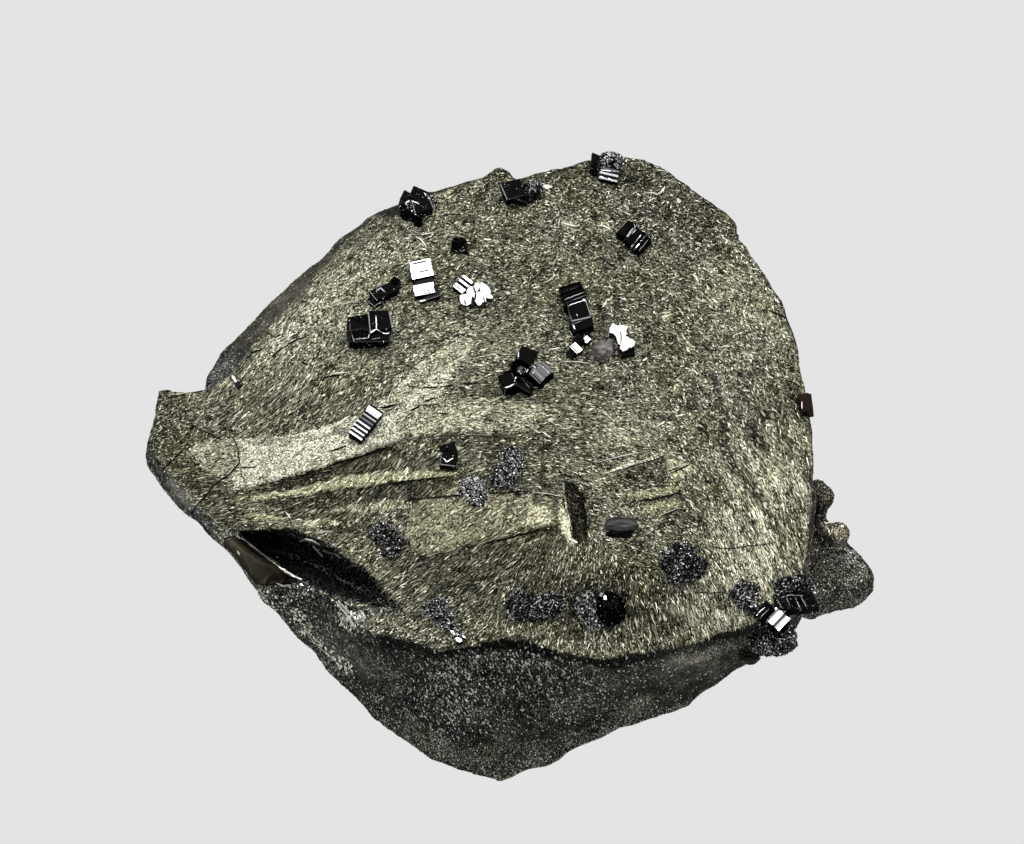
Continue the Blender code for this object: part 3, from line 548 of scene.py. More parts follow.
def rimDistance(points):
    # Distance in mm from the edge of the etched face, positive on the face
    bm = mergedCopy("freibergite_crystal")
    isTop = etchedFaces(bm)
    samples = []
    for edge in bm.edges:
        if len({isTop[f.index] for f in edge.link_faces}) == 2:
            a, b = (v.co for v in edge.verts)
            count = max(1, round((b - a).length / (hostShape["rimSample"] * mm)))
            samples += [a.lerp(b, i / count) for i in range(count)]
    tree = kdtree.KDTree(len(samples))
    for i, sample in enumerate(samples):
        tree.insert(sample, i)
    tree.balance()
    surface = BVHTree.FromBMesh(bm)
    away = np.empty(len(points))
    for i, point in enumerate(points):
        nearest = surface.find_nearest(point)
        away[i] = tree.find(point)[2] / mm * (1 if isTop[nearest[2]] else -1)
    bm.free()
    return away


def refined(mesh):
    # One flat face under the specimen, and a finer surface beside each outline of the etched face
    bm = bmesh.new()
    bm.from_mesh(mesh)
    flat = 0.05 * mm
    under = [f for f in bm.faces if f.normal.z < -0.999 and f.calc_center_median().z < flat]
    inside = [e for e in {e for f in under for e in f.edges}
              if all(g.normal.z < -0.999 for g in e.link_faces)]
    corners = list({v for e in inside for v in e.verts})
    bmesh.ops.dissolve_limit(bm, angle_limit=0.01, verts=corners, edges=inside)
    for reach in hostShape["nearOutline"]:
        tops = [f for f in bm.faces
                if f.normal.z > 0.4 and len(f.verts) < 9
                and f.calc_center_median().z > hostShape["lowestTop"] * mm]
        middles = photoSpots([f.calc_center_median() for f in tops])
        away = np.full(len(tops), 1e9)
        for patch in crispPatches.values():
            away = np.minimum(away, np.abs(outlineDistance(middles, patch["outline"])))
        near = {e for f, far in zip(tops, away) if far < reach for e in f.edges}
        bmesh.ops.subdivide_edges(bm, edges=list(near), cuts=1, use_grid_fill=True)
    bm.to_mesh(mesh)
    bm.free()


def noiseAt(points, size, shift=0.0):
    return np.array([noise.noise(Vector(p) / size + Vector((shift, shift, 0))) for p in points])


def softSum(spots, entry, pick):
    total = np.zeros(len(spots))
    for middle, reach, *changes in entry.values():
        away = ((spots - np.array(middle)) / np.array(reach)) ** 2
        total += changes[pick] * np.exp(-away.sum(1))
    return total


def grainField(spots):
    # Direction and spread of the grains at each spot of the photo
    total = np.full(len(spots), 1e-6)
    double, spread = np.zeros((len(spots), 2)), np.zeros(len(spots))
    for middle, reach, degrees, wide in grainRuns.values():
        weight = np.exp(-(((spots - np.array(middle)) / reach) ** 2).sum(1)) + 1e-5
        turn = 2 * math.radians(degrees)
        double += weight[:, None] * np.array([math.cos(turn), math.sin(turn)])
        spread += weight * wide
        total += weight
    angle = np.arctan2(double[:, 1], double[:, 0]) / 2
    return angle, spread / total


def setAttribute(mesh, name, values, kind="FLOAT", domain="POINT"):
    field = "vector" if kind == "FLOAT_VECTOR" else "value"
    attribute = mesh.attributes.new(name, kind, domain)
    attribute.data.foreach_set(field, np.asarray(values, np.float32).ravel())


def hideCovered(mesh, points, inside):
    # Takes out of an outline the points that lie behind the stone as the photo sees it
    stone = BVHTree.FromPolygons([v.co for v in mesh.vertices], [p.vertices for p in mesh.polygons])
    back = -Vector(cameraAxes()[2])
    for i in np.nonzero(inside > -4.0)[0]:
        if stone.ray_cast(Vector(points[i]) + back * hostShape["glassGap"] * mm, back)[0] is not None:
            inside[i] = -50.0


def uneven(flat, name):
    size, shift, strength = hostNoise[name]
    return noiseAt(flat, size, shift) * strength


def fineHost():
    # The host's solid with a fine, even surface
    bm = mergedCopy("freibergite_crystal")
    rough = bpy.data.meshes.new("hostRough")
    bm.to_mesh(rough)
    bm.free()
    draft = newObject("hostDraft", rough)
    remesh = draft.modifiers.new("fineSurface", "REMESH")
    remesh.mode, remesh.voxel_size = "VOXEL", hostShape["voxel"] * mm
    mesh = evaluatedMesh(draft)
    dropObject(draft)
    mesh.name = "etchedCrystal"
    refined(mesh)
    return newObject("etchedCrystal", mesh)


def pointValues(mesh, field):
    values = np.empty(len(mesh.vertices) * 3, np.float32)
    mesh.vertices.foreach_get(field, values)
    return values.reshape(-1, 3).astype(float)


def edgeOfLook(points, outlines):
    # Distance in mm from the ragged edge of the etched look, positive on the face
    pixel = photoView["millimetresPerPixel"]
    rim = rimDistance(points)
    rim = np.maximum(rim, np.minimum(outlines["etchedBeyond"] * pixel, hostShape["beyondEdge"]))
    for name in ("satinCorner", "satinLeftRim", "lens"):
        rim = np.minimum(rim, -outlines[name] * pixel)
    return rim + uneven(points / mm, "edge")


def streaksOfShine(flat, spots):
    rules = shineStreaks
    lean = np.radians(rules["lean"])
    alongside = flat @ np.array([math.cos(lean), math.sin(lean), 0.0]) / rules["length"]
    across = flat @ np.array([-math.sin(lean), math.cos(lean), 0.0])
    drawn = np.stack([alongside, across, flat[:, 2] * rules["depth"]], 1)
    streaks = noiseAt(drawn, rules["size"], rules["shift"])
    return streaks * softSum(spots, rules["spot"], 0) * rules["strength"]


def lookOfFace(flat, spots, wobble, thin, onTop):
    # Light, warmth and grain cover of the etched face, and how far its patches rise
    clouds = uneven(flat, "cloud") + uneven(flat, "smallCloud")
    clouds -= smooth(uneven(flat, "darkSpot"), 0.30, 0.50) * hostLook["darkSpots"]
    light = plainLight + softSum(spots, softTones, 0) - hostLook["strokeShade"] * thin + clouds
    warm = hostLook["plainWarmth"] + uneven(flat, "warmth") + uneven(flat, "warmSpot")
    lift, cover = np.zeros(len(flat)), np.ones(len(flat))
    for patch in crispPatches.values():
        inside = outlineDistance(spots + wobble * patch.get("ragged", 1.0), patch["outline"])
        edge = patch.get("edge", plainEdge)
        share = smooth(inside, -edge, edge)
        own = patch["light"] + clouds * patch.get("clouds", 1.0)
        light = light * (1 - share) + own * share
        cover = cover * (1 - share) + patch.get("cover", 1.0) * share
        if "warm" in patch:
            warm = warm * (1 - share) + patch["warm"] * share
        lift += patch["rise"] * smooth(inside, -2.0, 2.5) * onTop
    return np.clip(light + streaksOfShine(flat, spots), 0.0, 1.0), warm, cover, lift


def lookOfWalls(flat, spots, seen, lens, lipShade):
    light = np.where(seen, softSum(spots, wallTones, 0), hostLook["hiddenWall"]) + plainWall
    light += uneven(flat, "wallCloud") + uneven(flat, "wallSpot")
    light -= hostLook["lipShade"] * lipShade
    # The cleft's walls are painted black as shade
    light = light * (1 - smooth(lens, -1.0, 1.5))
    warm = np.where(seen, softSum(spots, wallTones, 1), hostLook["hiddenWarmth"]) + hostLook["wallWarmth"]
    return np.clip(light, 0.0, 1.0), warm + uneven(flat, "wallWarmth")


def buildHost():
    host = fineHost()
    mesh = host.data
    points, normals = pointValues(mesh, "co"), pointValues(mesh, "normal")
    flat = points / mm
    spots = photoSpots(points)
    seen = (normals @ -np.array(cameraAxes()[2]) > 0.05) & (flat[:, 2] > hostShape["lookFloor"])
    outlines = {name: np.where(seen, outlineDistance(spots, outline), -50.0)
                for name, outline in lookOutlines.items()}
    hideCovered(mesh, points, outlines["glassFacet"])
    rim = edgeOfLook(points, outlines)
    onTop = smooth(rim, -0.15, 0.15)
    walls = 1 - onTop

    wobble = np.stack([uneven(flat, "wobbleAcross"), uneven(flat, "wobbleDown")], 1)
    angle, spread = grainField(spots)
    wellInside = smooth(rim, 0.25, 0.45)
    thin, broad = (np.minimum(softSum(spots, strokeRuns, pick), 1.0) * wellInside for pick in (0, 1))
    light, warm, cover, lift = lookOfFace(flat, spots, wobble, thin, onTop)
    lipShade = smooth(outlines["lipShadow"] + wobble[:, 0] * 2.5, -4.5, 4.5)
    wallLight, wallWarm = lookOfWalls(flat, spots, seen, outlines["lens"], lipShade)

    resting = smooth(flat[:, 2], *hostShape["restingFoot"])
    glass = smooth(outlines["glassFacet"], -2.0, 1.0)
    lift += walls * resting * (1 - glass) * (uneven(flat, "wallRough") + uneven(flat, "wallGrain"))
    lift += onTop * uneven(flat, "topRough")
    points += normals * (lift * mm)[:, None]
    mesh.vertices.foreach_set("co", points.astype(np.float32).ravel())
    mesh.update()
    mesh.shade_smooth()

    level = np.stack([np.cos(angle), np.sin(angle), np.zeros(len(flat))], 1)
    along = level * onTop[:, None] + np.array(wallDown) * walls[:, None]
    glints, calm, sheen = (np.minimum(softSum(spots, entry, 0), 1.0) * seen
                           for entry in (glintSpots, calmWalls, sheenSpots))
    bare = smooth(outlines["glassFacet"], -2.5, 0.0)
    pit = smooth(outlines["lens"], -1.5, 1.0)
    onWall = smooth(-rim, 0.05, 0.30) * resting * (1 - bare) * (1 - hostLook["pitCover"] * pit)
    onWall *= 1 - hostLook["coverUnderLip"] * lipShade
    underStrokes = (1 - hostLook["coverUnderThin"] * thin) * (1 - hostLook["coverUnderBroad"] * broad)
    looks = {
        "rimDistance": rim, "glassEdge": outlines["glassFacet"], "pitEdge": outlines["lens"],
        "light": light * onTop + wallLight * walls,
        "warmth": np.clip(warm * onTop + wallWarm * walls, 0.0, 1.0),
        "grainSpread": np.radians(spread * onTop + hostLook["wallSpread"] * walls),
        "grainCover": smooth(rim, 0.05, 0.40) * underStrokes * cover,
        "thinCover": thin, "broadCover": broad,
        "gapCover": np.minimum(hostLook["plainGaps"] + thin + broad, 1.0) * wellInside * cover,
        "glitter": 1 - hostLook["calmGlitter"] * calm,
        "wallCover": onWall * (1 - hostLook["calmCover"] * calm),
        "glintCover": onWall * glints, "sheenCover": onWall * sheen,
    }
    for name, values in looks.items():
        setAttribute(mesh, name, values)
    setAttribute(mesh, "grainAlong", along, "FLOAT_VECTOR")
    print("etched crystal:", sum(len(p.vertices) - 2 for p in mesh.polygons), "triangles")
    return host


# Tones of the ore from deep shade to full glint
oreStops = [
    (0.00, (0.005, 0.005, 0.004)), (0.25, (0.050, 0.049, 0.038)), (0.50, (0.160, 0.158, 0.121)),
    (0.75, (0.390, 0.385, 0.308)), (1.00, (0.86, 0.855, 0.75)),
]
wallStops = [
    (0.0, (0.002, 0.002, 0.002)), (0.35, (0.016, 0.017, 0.015)), (0.60, (0.078, 0.080, 0.073)),
    (0.82, (0.22, 0.225, 0.208)), (1.0, (0.62, 0.63, 0.60)),
]


# Tints of the ore where the place is warm
oreTint, wallTint = (1.03, 1.01, 0.80), (1.10, 0.98, 0.70)

# The cleft: its glassy facet darkens to the right, its inside is painted near-black as shade and dust lies at
# its right end, spans in mm along X
cleftLook = {
    "glassSpan": (-26.5, -19.5),
    "glassLeft": (0.034, 0.032, 0.021, 1.0), "glassRight": (0.004, 0.003, 0.002, 1.0),
    "dustSpan": (-21.5, -17.0),
    "inside": (0.0015, 0.0015, 0.0015, 1.0), "dust": (0.22, 0.22, 0.21, 1.0),
}


def warmed(tree, colour, tint):
    # Tints a colour by the place's warmth
    tinted = addNode(tree, "ShaderNodeMix", {0: 1.0, 6: colour, 7: (*tint, 1.0)}, data_type="RGBA",
                     blend_type="MULTIPLY").outputs[2]
    return mixColours(tree, named(tree, "warmth"), colour, tinted)


def oreMaterial():
    material, tree, shader = newMaterial("etchedOre")
    light = named(tree, "light")
    plain = millimetres(tree)
    fine = speckle(tree, plain, 0.16, 2.0, 0.6)
    pattern = centred(tree, fine, 2.2)
    tone = calc(tree, "ADD", calc(tree, "MULTIPLY", light, 0.92), pattern, clamp=True)
    topColour = warmed(tree, toneRamp(tree, tone, oreStops), oreTint)

    leaning = millimetres(tree, -12, (0.8, 1.0, 1.5))
    grain = speckle(tree, leaning, 0.15, 3.0, 0.6)
    swing = calc(tree, "MULTIPLY", calc(tree, "SUBTRACT", grain, 0.5), named(tree, "glitter"))
    wallTone = calc(tree, "ADD", calc(tree, "MULTIPLY", light, 0.90), calc(tree, "MULTIPLY", swing, 2.8))
    wallColour = toneRamp(tree, addNode(tree, "ShaderNodeClamp", {0: wallTone}).outputs[0], wallStops)
    wallColour = warmed(tree, wallColour, wallTint)
    ragged = centred(tree, fine, 0.7)
    onTop = stepUp(tree, calc(tree, "ADD", named(tree, "rimDistance"), ragged), -0.04, 0.06)
    colour = mixColours(tree, onTop, wallColour, topColour)
    glass = stepUp(tree, named(tree, "glassEdge"), -0.6, 0.6)
    toRight = addNode(tree, "ShaderNodeSeparateXYZ", {0: plain}).outputs[0]
    shadeOfGlass = mixColours(tree, stepUp(tree, toRight, *cleftLook["glassSpan"]),
                              cleftLook["glassLeft"], cleftLook["glassRight"])
    colour = mixColours(tree, glass, colour, shadeOfGlass)
    # Inside the cleft: painted near-black shade, with dust at its right end
    pit = stepUp(tree, named(tree, "pitEdge"), -0.8, 0.8)
    dusted = calc(tree, "MULTIPLY", stepUp(tree, toRight, *cleftLook["dustSpan"]),
                  stepUp(tree, fine, 0.50, 0.74))
    shadeOfPit = mixColours(tree, dusted, cleftLook["inside"], cleftLook["dust"])
    colour = mixColours(tree, pit, colour, shadeOfPit)

    tilted = facets(tree, plain, 0.18, 0.9)
    bumps = calc(tree, "ADD", tilted, calc(tree, "MULTIPLY", fine, 1.2))
    plainer = calc(tree, "MULTIPLY", bumps, calc(tree, "SUBTRACT", 1.0, glass))
    bump = addNode(tree, "ShaderNodeBump", {"Strength": 0.9, "Distance": 0.07 * mm, "Height": plainer})
    rough = calc(tree, "ADD", 0.32, calc(tree, "MULTIPLY", fine, 0.22))
    rough = calc(tree, "MULTIPLY", rough, calc(tree, "SUBTRACT", 1.0, calc(tree, "MULTIPLY", glass, 0.35)))
    linkInto(tree, shader, colour=colour, metallic=0.88, roughness=rough, normal=bump.outputs[0])
    dimGrazing(shader)
    return material


def dimGrazing(shader, level=0.25):
    # Ore stays dark where it is seen at a low angle
    shader.inputs["Specular Tint"].default_value = (0.30, 0.30, 0.29, 1.0)
    shader.inputs["Specular IOR Level"].default_value = level


def grainMaterial(name, stops, tint, reach, base=0.0, share=0.92, rough=0.34):
    # Grains keep one tone each: the place's light share decides how many of them are pale
    material, tree, shader = newMaterial(name)
    chance = calc(tree, "SUBTRACT", named(tree, "grainShade"), 0.5)
    tone = calc(tree, "ADD", calc(tree, "MULTIPLY", named(tree, "light"), share),
                calc(tree, "MULTIPLY", chance, reach))
    tone = calc(tree, "ADD", tone, base, clamp=True)
    colour = warmed(tree, toneRamp(tree, tone, stops), tint)
    fine = speckle(tree, millimetres(tree), 0.12, 2.0, 0.5)
    linkInto(tree, shader, colour=colour, metallic=0.88,
             roughness=calc(tree, "ADD", rough, calc(tree, "MULTIPLY", fine, 0.22)))
    dimGrazing(shader)
    return material


def coatMaterial():
    # Tiny dusty faces, some of them silvery
    material, tree, shader = newMaterial("dustyCoat")
    chance = calc(tree, "SUBTRACT", named(tree, "grainShade"), 0.5)
    darker = calc(tree, "SUBTRACT", named(tree, "light"), 0.09)
    tone = calc(tree, "ADD", darker, calc(tree, "MULTIPLY", chance, 2.6), clamp=True)
    stops = [(0.0, (0.002, 0.002, 0.002)), (0.38, (0.013, 0.0135, 0.013)), (0.60, (0.066, 0.068, 0.066)),
             (0.82, (0.30, 0.31, 0.305)), (1.0, (0.82, 0.83, 0.81))]
    fine = speckle(tree, millimetres(tree), 0.12, 2.0, 0.5)
    rough = calc(tree, "ADD", 0.22, calc(tree, "MULTIPLY", fine, 0.25))
    linkInto(tree, shader, colour=toneRamp(tree, tone, stops), metallic=0.8, roughness=rough)
    return material


def grainTree(name, material, cover="grainCover"):
    # Distributes small flat crystals over a surface, laid along the surface's own grain direction
    tree = bpy.data.node_groups.new(name, "GeometryNodeTree")
    face = tree.interface
    face.new_socket("Geometry", in_out="INPUT", socket_type="NodeSocketGeometry")
    for label in ("Density", "Length", "Width", "Height", "Tilt", "Unevenness"):
        face.new_socket(label, in_out="INPUT", socket_type="NodeSocketFloat")
    face.new_socket("Seed", in_out="INPUT", socket_type="NodeSocketInt")
    face.new_socket("Geometry", in_out="OUTPUT", socket_type="NodeSocketGeometry")
    given = addNode(tree, "NodeGroupInput").outputs

    def field(label, kind="FLOAT"):
        reader = addNode(tree, "GeometryNodeInputNamedAttribute", {"Name": label}, data_type=kind)
        return reader.outputs[0]

    def chance(low, high, offset):
        seed = calc(tree, "ADD", given["Seed"], offset)
        values = {2: low, 3: high, 8: seed}
        return addNode(tree, "FunctionNodeRandomValue", values, data_type="FLOAT").outputs[1]

    density = calc(tree, "MULTIPLY", given["Density"], field(cover))
    spread = addNode(tree, "GeometryNodeDistributePointsOnFaces",
                     {"Mesh": given["Geometry"], "Density": density, "Seed": given["Seed"]})
    swing = calc(tree, "MULTIPLY", calc(tree, "ADD", chance(-0.6, 0.6, 11), chance(-0.6, 0.6, 12)),
                 field("grainSpread"))
    heading = addNode(tree, "ShaderNodeVectorRotate",
                      {"Vector": field("grainAlong", "FLOAT_VECTOR"), "Axis": spread.outputs["Normal"],
                       "Angle": swing})
    axes = addNode(tree, "FunctionNodeAxesToRotation",
                   {"Primary Axis": spread.outputs["Normal"], "Secondary Axis": heading.outputs[0]},
                   primary_axis="Z", secondary_axis="X")
    lean = [calc(tree, "MULTIPLY", chance(-1.0, 1.0, 13 + i), given["Tilt"]) for i in range(2)]
    tipped = addNode(tree, "ShaderNodeCombineXYZ", {0: lean[0], 1: lean[1]})
    tilt = addNode(tree, "FunctionNodeEulerToRotation", {0: tipped.outputs[0]})
    rotation = addNode(tree, "FunctionNodeRotateRotation", {0: axes.outputs[0], 1: tilt.outputs[0]},
                       rotation_space="LOCAL")
    sizes = []
    for i, label in enumerate(("Length", "Width", "Height")):
        change = calc(tree, "MULTIPLY", chance(-1.0, 1.0, 17 + i), given["Unevenness"])
        sizes.append(calc(tree, "MULTIPLY", given[label], calc(tree, "ADD", 1.0, change)))
    scale = addNode(tree, "ShaderNodeCombineXYZ", dict(enumerate(sizes)))
    seedShape = addNode(tree, "GeometryNodeMeshCone",
                        {"Vertices": 4, "Radius Bottom": 0.5, "Depth": 1.0}, fill_type="NONE")
    laid = addNode(tree, "GeometryNodeInstanceOnPoints",
                   {"Points": spread.outputs["Points"], "Instance": seedShape.outputs["Mesh"],
                    "Rotation": rotation.outputs[0], "Scale": scale.outputs[0]})
    shade = addNode(tree, "GeometryNodeStoreNamedAttribute",
                    {"Geometry": laid.outputs[0], "Name": "grainShade",
                     "Value": calc(tree, "ADD", chance(0.0, 0.5, 23), chance(0.0, 0.5, 24))},
                    data_type="FLOAT", domain="INSTANCE")
    solid = addNode(tree, "GeometryNodeRealizeInstances", {"Geometry": shade.outputs[0]})
    flatFaces = addNode(tree, "GeometryNodeSetShadeSmooth", {0: solid.outputs[0], "Shade Smooth": False})
    finish = addNode(tree, "GeometryNodeSetMaterial",
                     {"Geometry": flatFaces.outputs[0], "Material": material})
    addNode(tree, "NodeGroupOutput", {"Geometry": finish.outputs[0]})
    return tree


def scatter(name, surface, tree, settings):
    # Runs a grain tree on a surface and keeps the result as a plain mesh of its own
    draft = newObject(name + "Draft", surface.data.copy())
    modifier = draft.modifiers.new("grains", "NODES")
    modifier.node_group = tree
    for item in tree.interface.items_tree:
        if item.in_out == "INPUT" and item.name in settings:
            modifier[item.identifier] = settings[item.name]
    mesh = evaluatedMesh(draft)
    dropObject(draft)
    mesh.name = name
    made = newObject(name, mesh)
    print(name, len(mesh.polygons), "faces")
    return made


# Grains of the etched face and of the walls, sizes in mm and number per square mm
faceGrains = {
    "longGrains": dict(layer="face", Density=14.0, Length=0.60, Width=0.10, Height=0.022, Tilt=0.18,
                       Unevenness=0.45, Seed=5),
    "shortGrains": dict(layer="face", Density=18.0, Length=0.38, Width=0.09, Height=0.022, Tilt=0.24,
                        Unevenness=0.4, Seed=8),
    "fineGrains": dict(layer="face", Density=20.0, Length=0.22, Width=0.10, Height=0.025, Tilt=0.28,
                       Unevenness=0.4, Seed=21),
    "thinStrokes": dict(layer="thin", Density=11.0, Length=1.15, Width=0.095, Height=0.045, Tilt=0.08,
                        Unevenness=0.5, Seed=31),
    "broadFlakes": dict(layer="broad", Density=5.5, Length=0.80, Width=0.17, Height=0.05, Tilt=0.12,
                        Unevenness=0.5, Seed=41),
    "darkGaps": dict(layer="dark", Density=11.0, Length=0.60, Width=0.10, Height=0.05, Tilt=0.08,
                     Unevenness=0.5, Seed=45),
    "wallGrains": dict(layer="wall", Density=14.0, Length=0.30, Width=0.10, Height=0.04, Tilt=0.28,
                       Unevenness=0.4, Seed=51),
    "wallSheen": dict(layer="sheen", Density=19.0, Length=0.40, Width=0.13, Height=0.06, Tilt=0.12,
                      Unevenness=0.4, Seed=73),
    "wallGlints": dict(layer="glint", Density=22.0, Length=0.46, Width=0.24, Height=0.10, Tilt=0.60,
                       Unevenness=0.5, Seed=61),
}


def settleGrains(sizes):
    inMetres = {label: value for label, value in sizes.items() if label != "layer"}
    inMetres["Density"] = sizes["Density"] / (mm * mm)
    for label in ("Length", "Width", "Height"):
        inMetres[label] = sizes[label] * mm
    return inMetres


host = buildHost()
ore = oreMaterial()
host.data.materials.clear()
host.data.materials.append(ore)
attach(host, "root")
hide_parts("freibergite_crystal")

faceFinish = grainMaterial("oreGrains", oreStops, oreTint, 2.0)
strokeFinish = grainMaterial("oreStrokes", oreStops, oreTint, 1.0, base=0.53, share=0.36)
darkFinish = grainMaterial("oreShadows", oreStops, oreTint, 0.5, base=0.0, share=0.20)
wallFinish = grainMaterial("wallGrains", wallStops, wallTint, 2.2, base=0.04, rough=0.24)
# The glint and sheen grains are toned up as painted glints and painted sheen
glintFinish = grainMaterial("wallGlints", oreStops, (1.04, 1.0, 0.90), 2.2, base=0.30, rough=0.12)
sheenFinish = grainMaterial("wallSheen", wallStops, (1.04, 1.0, 0.92), 1.8, base=0.62, share=0.40, rough=0.22)
grainLayers = {
    "face": grainTree("etchedGrains", faceFinish),
    "thin": grainTree("etchedStrokes", strokeFinish, cover="thinCover"),
    "broad": grainTree("etchedFlakes", strokeFinish, cover="broadCover"),
    "dark": grainTree("etchedGaps", darkFinish, cover="gapCover"),
    "wall": grainTree("wallGrains", wallFinish, cover="wallCover"),
    "glint": grainTree("wallGlints", glintFinish, cover="glintCover"),
    "sheen": grainTree("wallSheen", sheenFinish, cover="sheenCover"),
}
for name, sizes in faceGrains.items():
    piece = scatter(name, host, grainLayers[sizes["layer"]], settleGrains(sizes))
    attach(piece, "root")


# Small crystals. A spot is the middle of a grain as seen in the photo, in pixels; sizes are in mm
crystalRules = {
    "sink": 1.2,               # mm that a grain reaches down into the face
    "groove": 0.16,            # mm, deepest groove between two ribs
    "crownLean": 0.10,         # uneven tilt of the ribs, as a share of their pitch
    "chamfer": 0.05,           # of a block's smallest side
    "coatDensity": 125.0, "coatGrain": 0.165,
    "sparkDensity": 14.0, "sparkGrain": 0.09,
}


def shadeLayer(bm):
    return bm.faces.layers.float.get("shade") or bm.faces.layers.float.new("shade")


def paint(bm, faces, shade):
    layer = shadeLayer(bm)
    for face in faces:
        face[layer] = shade


def ribBar(bm, place, size, draw, ribs=6, crowns=(0.03,), flank=0.12, groove=None, crownShare=0.88,
           sink=None):
    # Parallel plates side by side, each with its own crown: the grooved side of a cogwheel twin
    length, width, height = size
    pitch = width / ribs
    deep = min(groove or crystalRules["groove"], pitch * 0.5)
    low = -(sink or crystalRules["sink"])
    for i in range(ribs):
        left = -width / 2 + i * pitch
        top = height * (1.0 - 0.2 * abs((i + 0.5) / ribs - 0.5) + draw.uniform(-0.035, 0.035))
        lean = pitch * crystalRules["crownLean"] * draw.uniform(-1, 1)
        own, slip = length * draw.uniform(0.94, 1.0), length * draw.uniform(-0.02, 0.02)
        inset = pitch * (1 - crownShare)
        section = [(left, low), (left + pitch, low), (left + pitch, top - deep),
                   (left + pitch - inset, top + lean), (left + inset, top - lean), (left, top - deep)]
        rings = []
        for end in (-1, 1):
            rings.append([bm.verts.new(place @ Vector((slip + end * (own / 2 - 0.05 * max(z, 0.0)), y, z)))
                          for y, z in section])
        # Each crown's shade paints it as a glint or in shade, one flank is painted lighter than the other,
        # and the ends follow the crown
        crown = crowns[i % len(crowns)]
        shades = (0.0, 0.04, flank, crown, flank * 0.6, 0.04)
        for side, shade in enumerate(shades):
            after = (side + 1) % len(section)
            face = bm.faces.new((rings[0][side], rings[0][after], rings[1][after], rings[1][side]))
            face[shadeLayer(bm)] = shade
        for ring in rings:
            bm.faces.new(ring)[shadeLayer(bm)] = crown * 0.25 + 0.02


def chamferedBlock(bm, place, size, draw, shade=0.03, edge=0.5):
    # A flat-faced block whose narrow chamfers carry painted highlights, each of its own brightness
    made = bmesh.ops.create_cube(bm, size=1.0)["verts"]
    low, high = -crystalRules["sink"], size[2]
    for vert in made:
        nudge = [draw.uniform(-0.10, 0.10) for _ in range(3)]
        z = high * (1.0 + nudge[2]) if vert.co.z > 0 else low
        vert.co = Vector(((vert.co.x + nudge[0]) * size[0], (vert.co.y + nudge[1]) * size[1], z))
    faces = list({f for v in made for f in v.link_faces})
    bmesh.ops.triangulate(bm, faces=[f for f in faces if f.normal.z > 0.5], quad_method="BEAUTY")
    faces = list({f for v in made for f in v.link_faces})
    edges = list({e for f in faces for e in f.edges if e.calc_face_angle(0.0) > 0.6})
    width = crystalRules["chamfer"] * min(size)
    paint(bm, faces, shade)
    beveled = bmesh.ops.bevel(bm, geom=edges, offset=width, segments=1, affect="EDGES", profile=0.5)
    # Chamfers painted as highlights, some of them dim
    for face in beveled["faces"]:
        face[shadeLayer(bm)] = edge * draw.choice((0.05, 0.1, 0.4, 1.3))
    island = {v for f in beveled["faces"] for v in f.verts}
    island |= {v for v in made if v.is_valid}
    bmesh.ops.transform(bm, matrix=place, verts=list(island))


def flake(bm, place, size, draw, shade=0.95, corners=11, tip=0.12):
    # A thin ragged plate lying on the face
    reach = [draw.uniform(0.55, 1.0) for _ in range(corners)]
    turns = [2 * math.pi * (i + draw.uniform(-0.25, 0.25)) / corners for i in range(corners)]
    flat = [(math.cos(t) * r * size[0] / 2, math.sin(t) * r * size[1] / 2) for t, r in zip(turns, reach)]
    lean = (draw.uniform(-tip, tip), draw.uniform(-tip, tip))
    top = [bm.verts.new(place @ Vector((x, y, size[2] + x * lean[0] + y * lean[1]))) for x, y in flat]
    foot = [bm.verts.new(place @ Vector((x, y, -crystalRules["sink"]))) for x, y in flat]
    paint(bm, [bm.faces.new(top), bm.faces.new(foot[::-1])], shade)
    for i in range(corners):
        after = (i + 1) % corners
        side = bm.faces.new((foot[i], foot[after], top[after], top[i]))
        # The sides are painted darker than the top as shade
        paint(bm, [side], shade * 0.12)


def roundLump(bm, place, size, draw, shade=0.05, rough=0.34, sink=None):
    # A rounded grain, bumpy all over
    made = bmesh.ops.create_icosphere(bm, subdivisions=3, radius=1.0)["verts"]
    shift = Vector((draw.uniform(0, 50), draw.uniform(0, 50), 0))
    for vert in made:
        swell = noise.noise(vert.co * 1.5 + shift) + 0.7 * noise.noise(vert.co * 4 + shift)
        out = vert.co * (1.0 + rough * swell)
        z = out.z * size[2] if out.z > 0 else out.z * (sink or crystalRules["sink"])
        vert.co = place @ Vector((out.x * size[0] / 2, out.y * size[1] / 2, z))
    faces = {f for v in made for f in v.link_faces}
    paint(bm, faces, shade)


makers = {"ribs": ribBar, "block": chamferedBlock, "lump": roundLump, "flake": flake}
lineRules = {
    "step": 1.6, "wander": 0.25,        # pixels between two points of a line, and how far they stray
    "jump": 0.8,                        # mm, a line breaks off where its next point lies farther
    "root": 0.015, "crest": 0.65,       # mm that it reaches into the surface, share that is flat on top
    "crystalLineLift": 0.03, "faceLift": 0.11,     # mm in height, on crystals and on the etched face
    "crystalLineWidening": 1.25,                  # how much wider the lines on crystals are than their entry says
    "faceShade": 0.70,                  # how much dimmer the lines of the face are
}


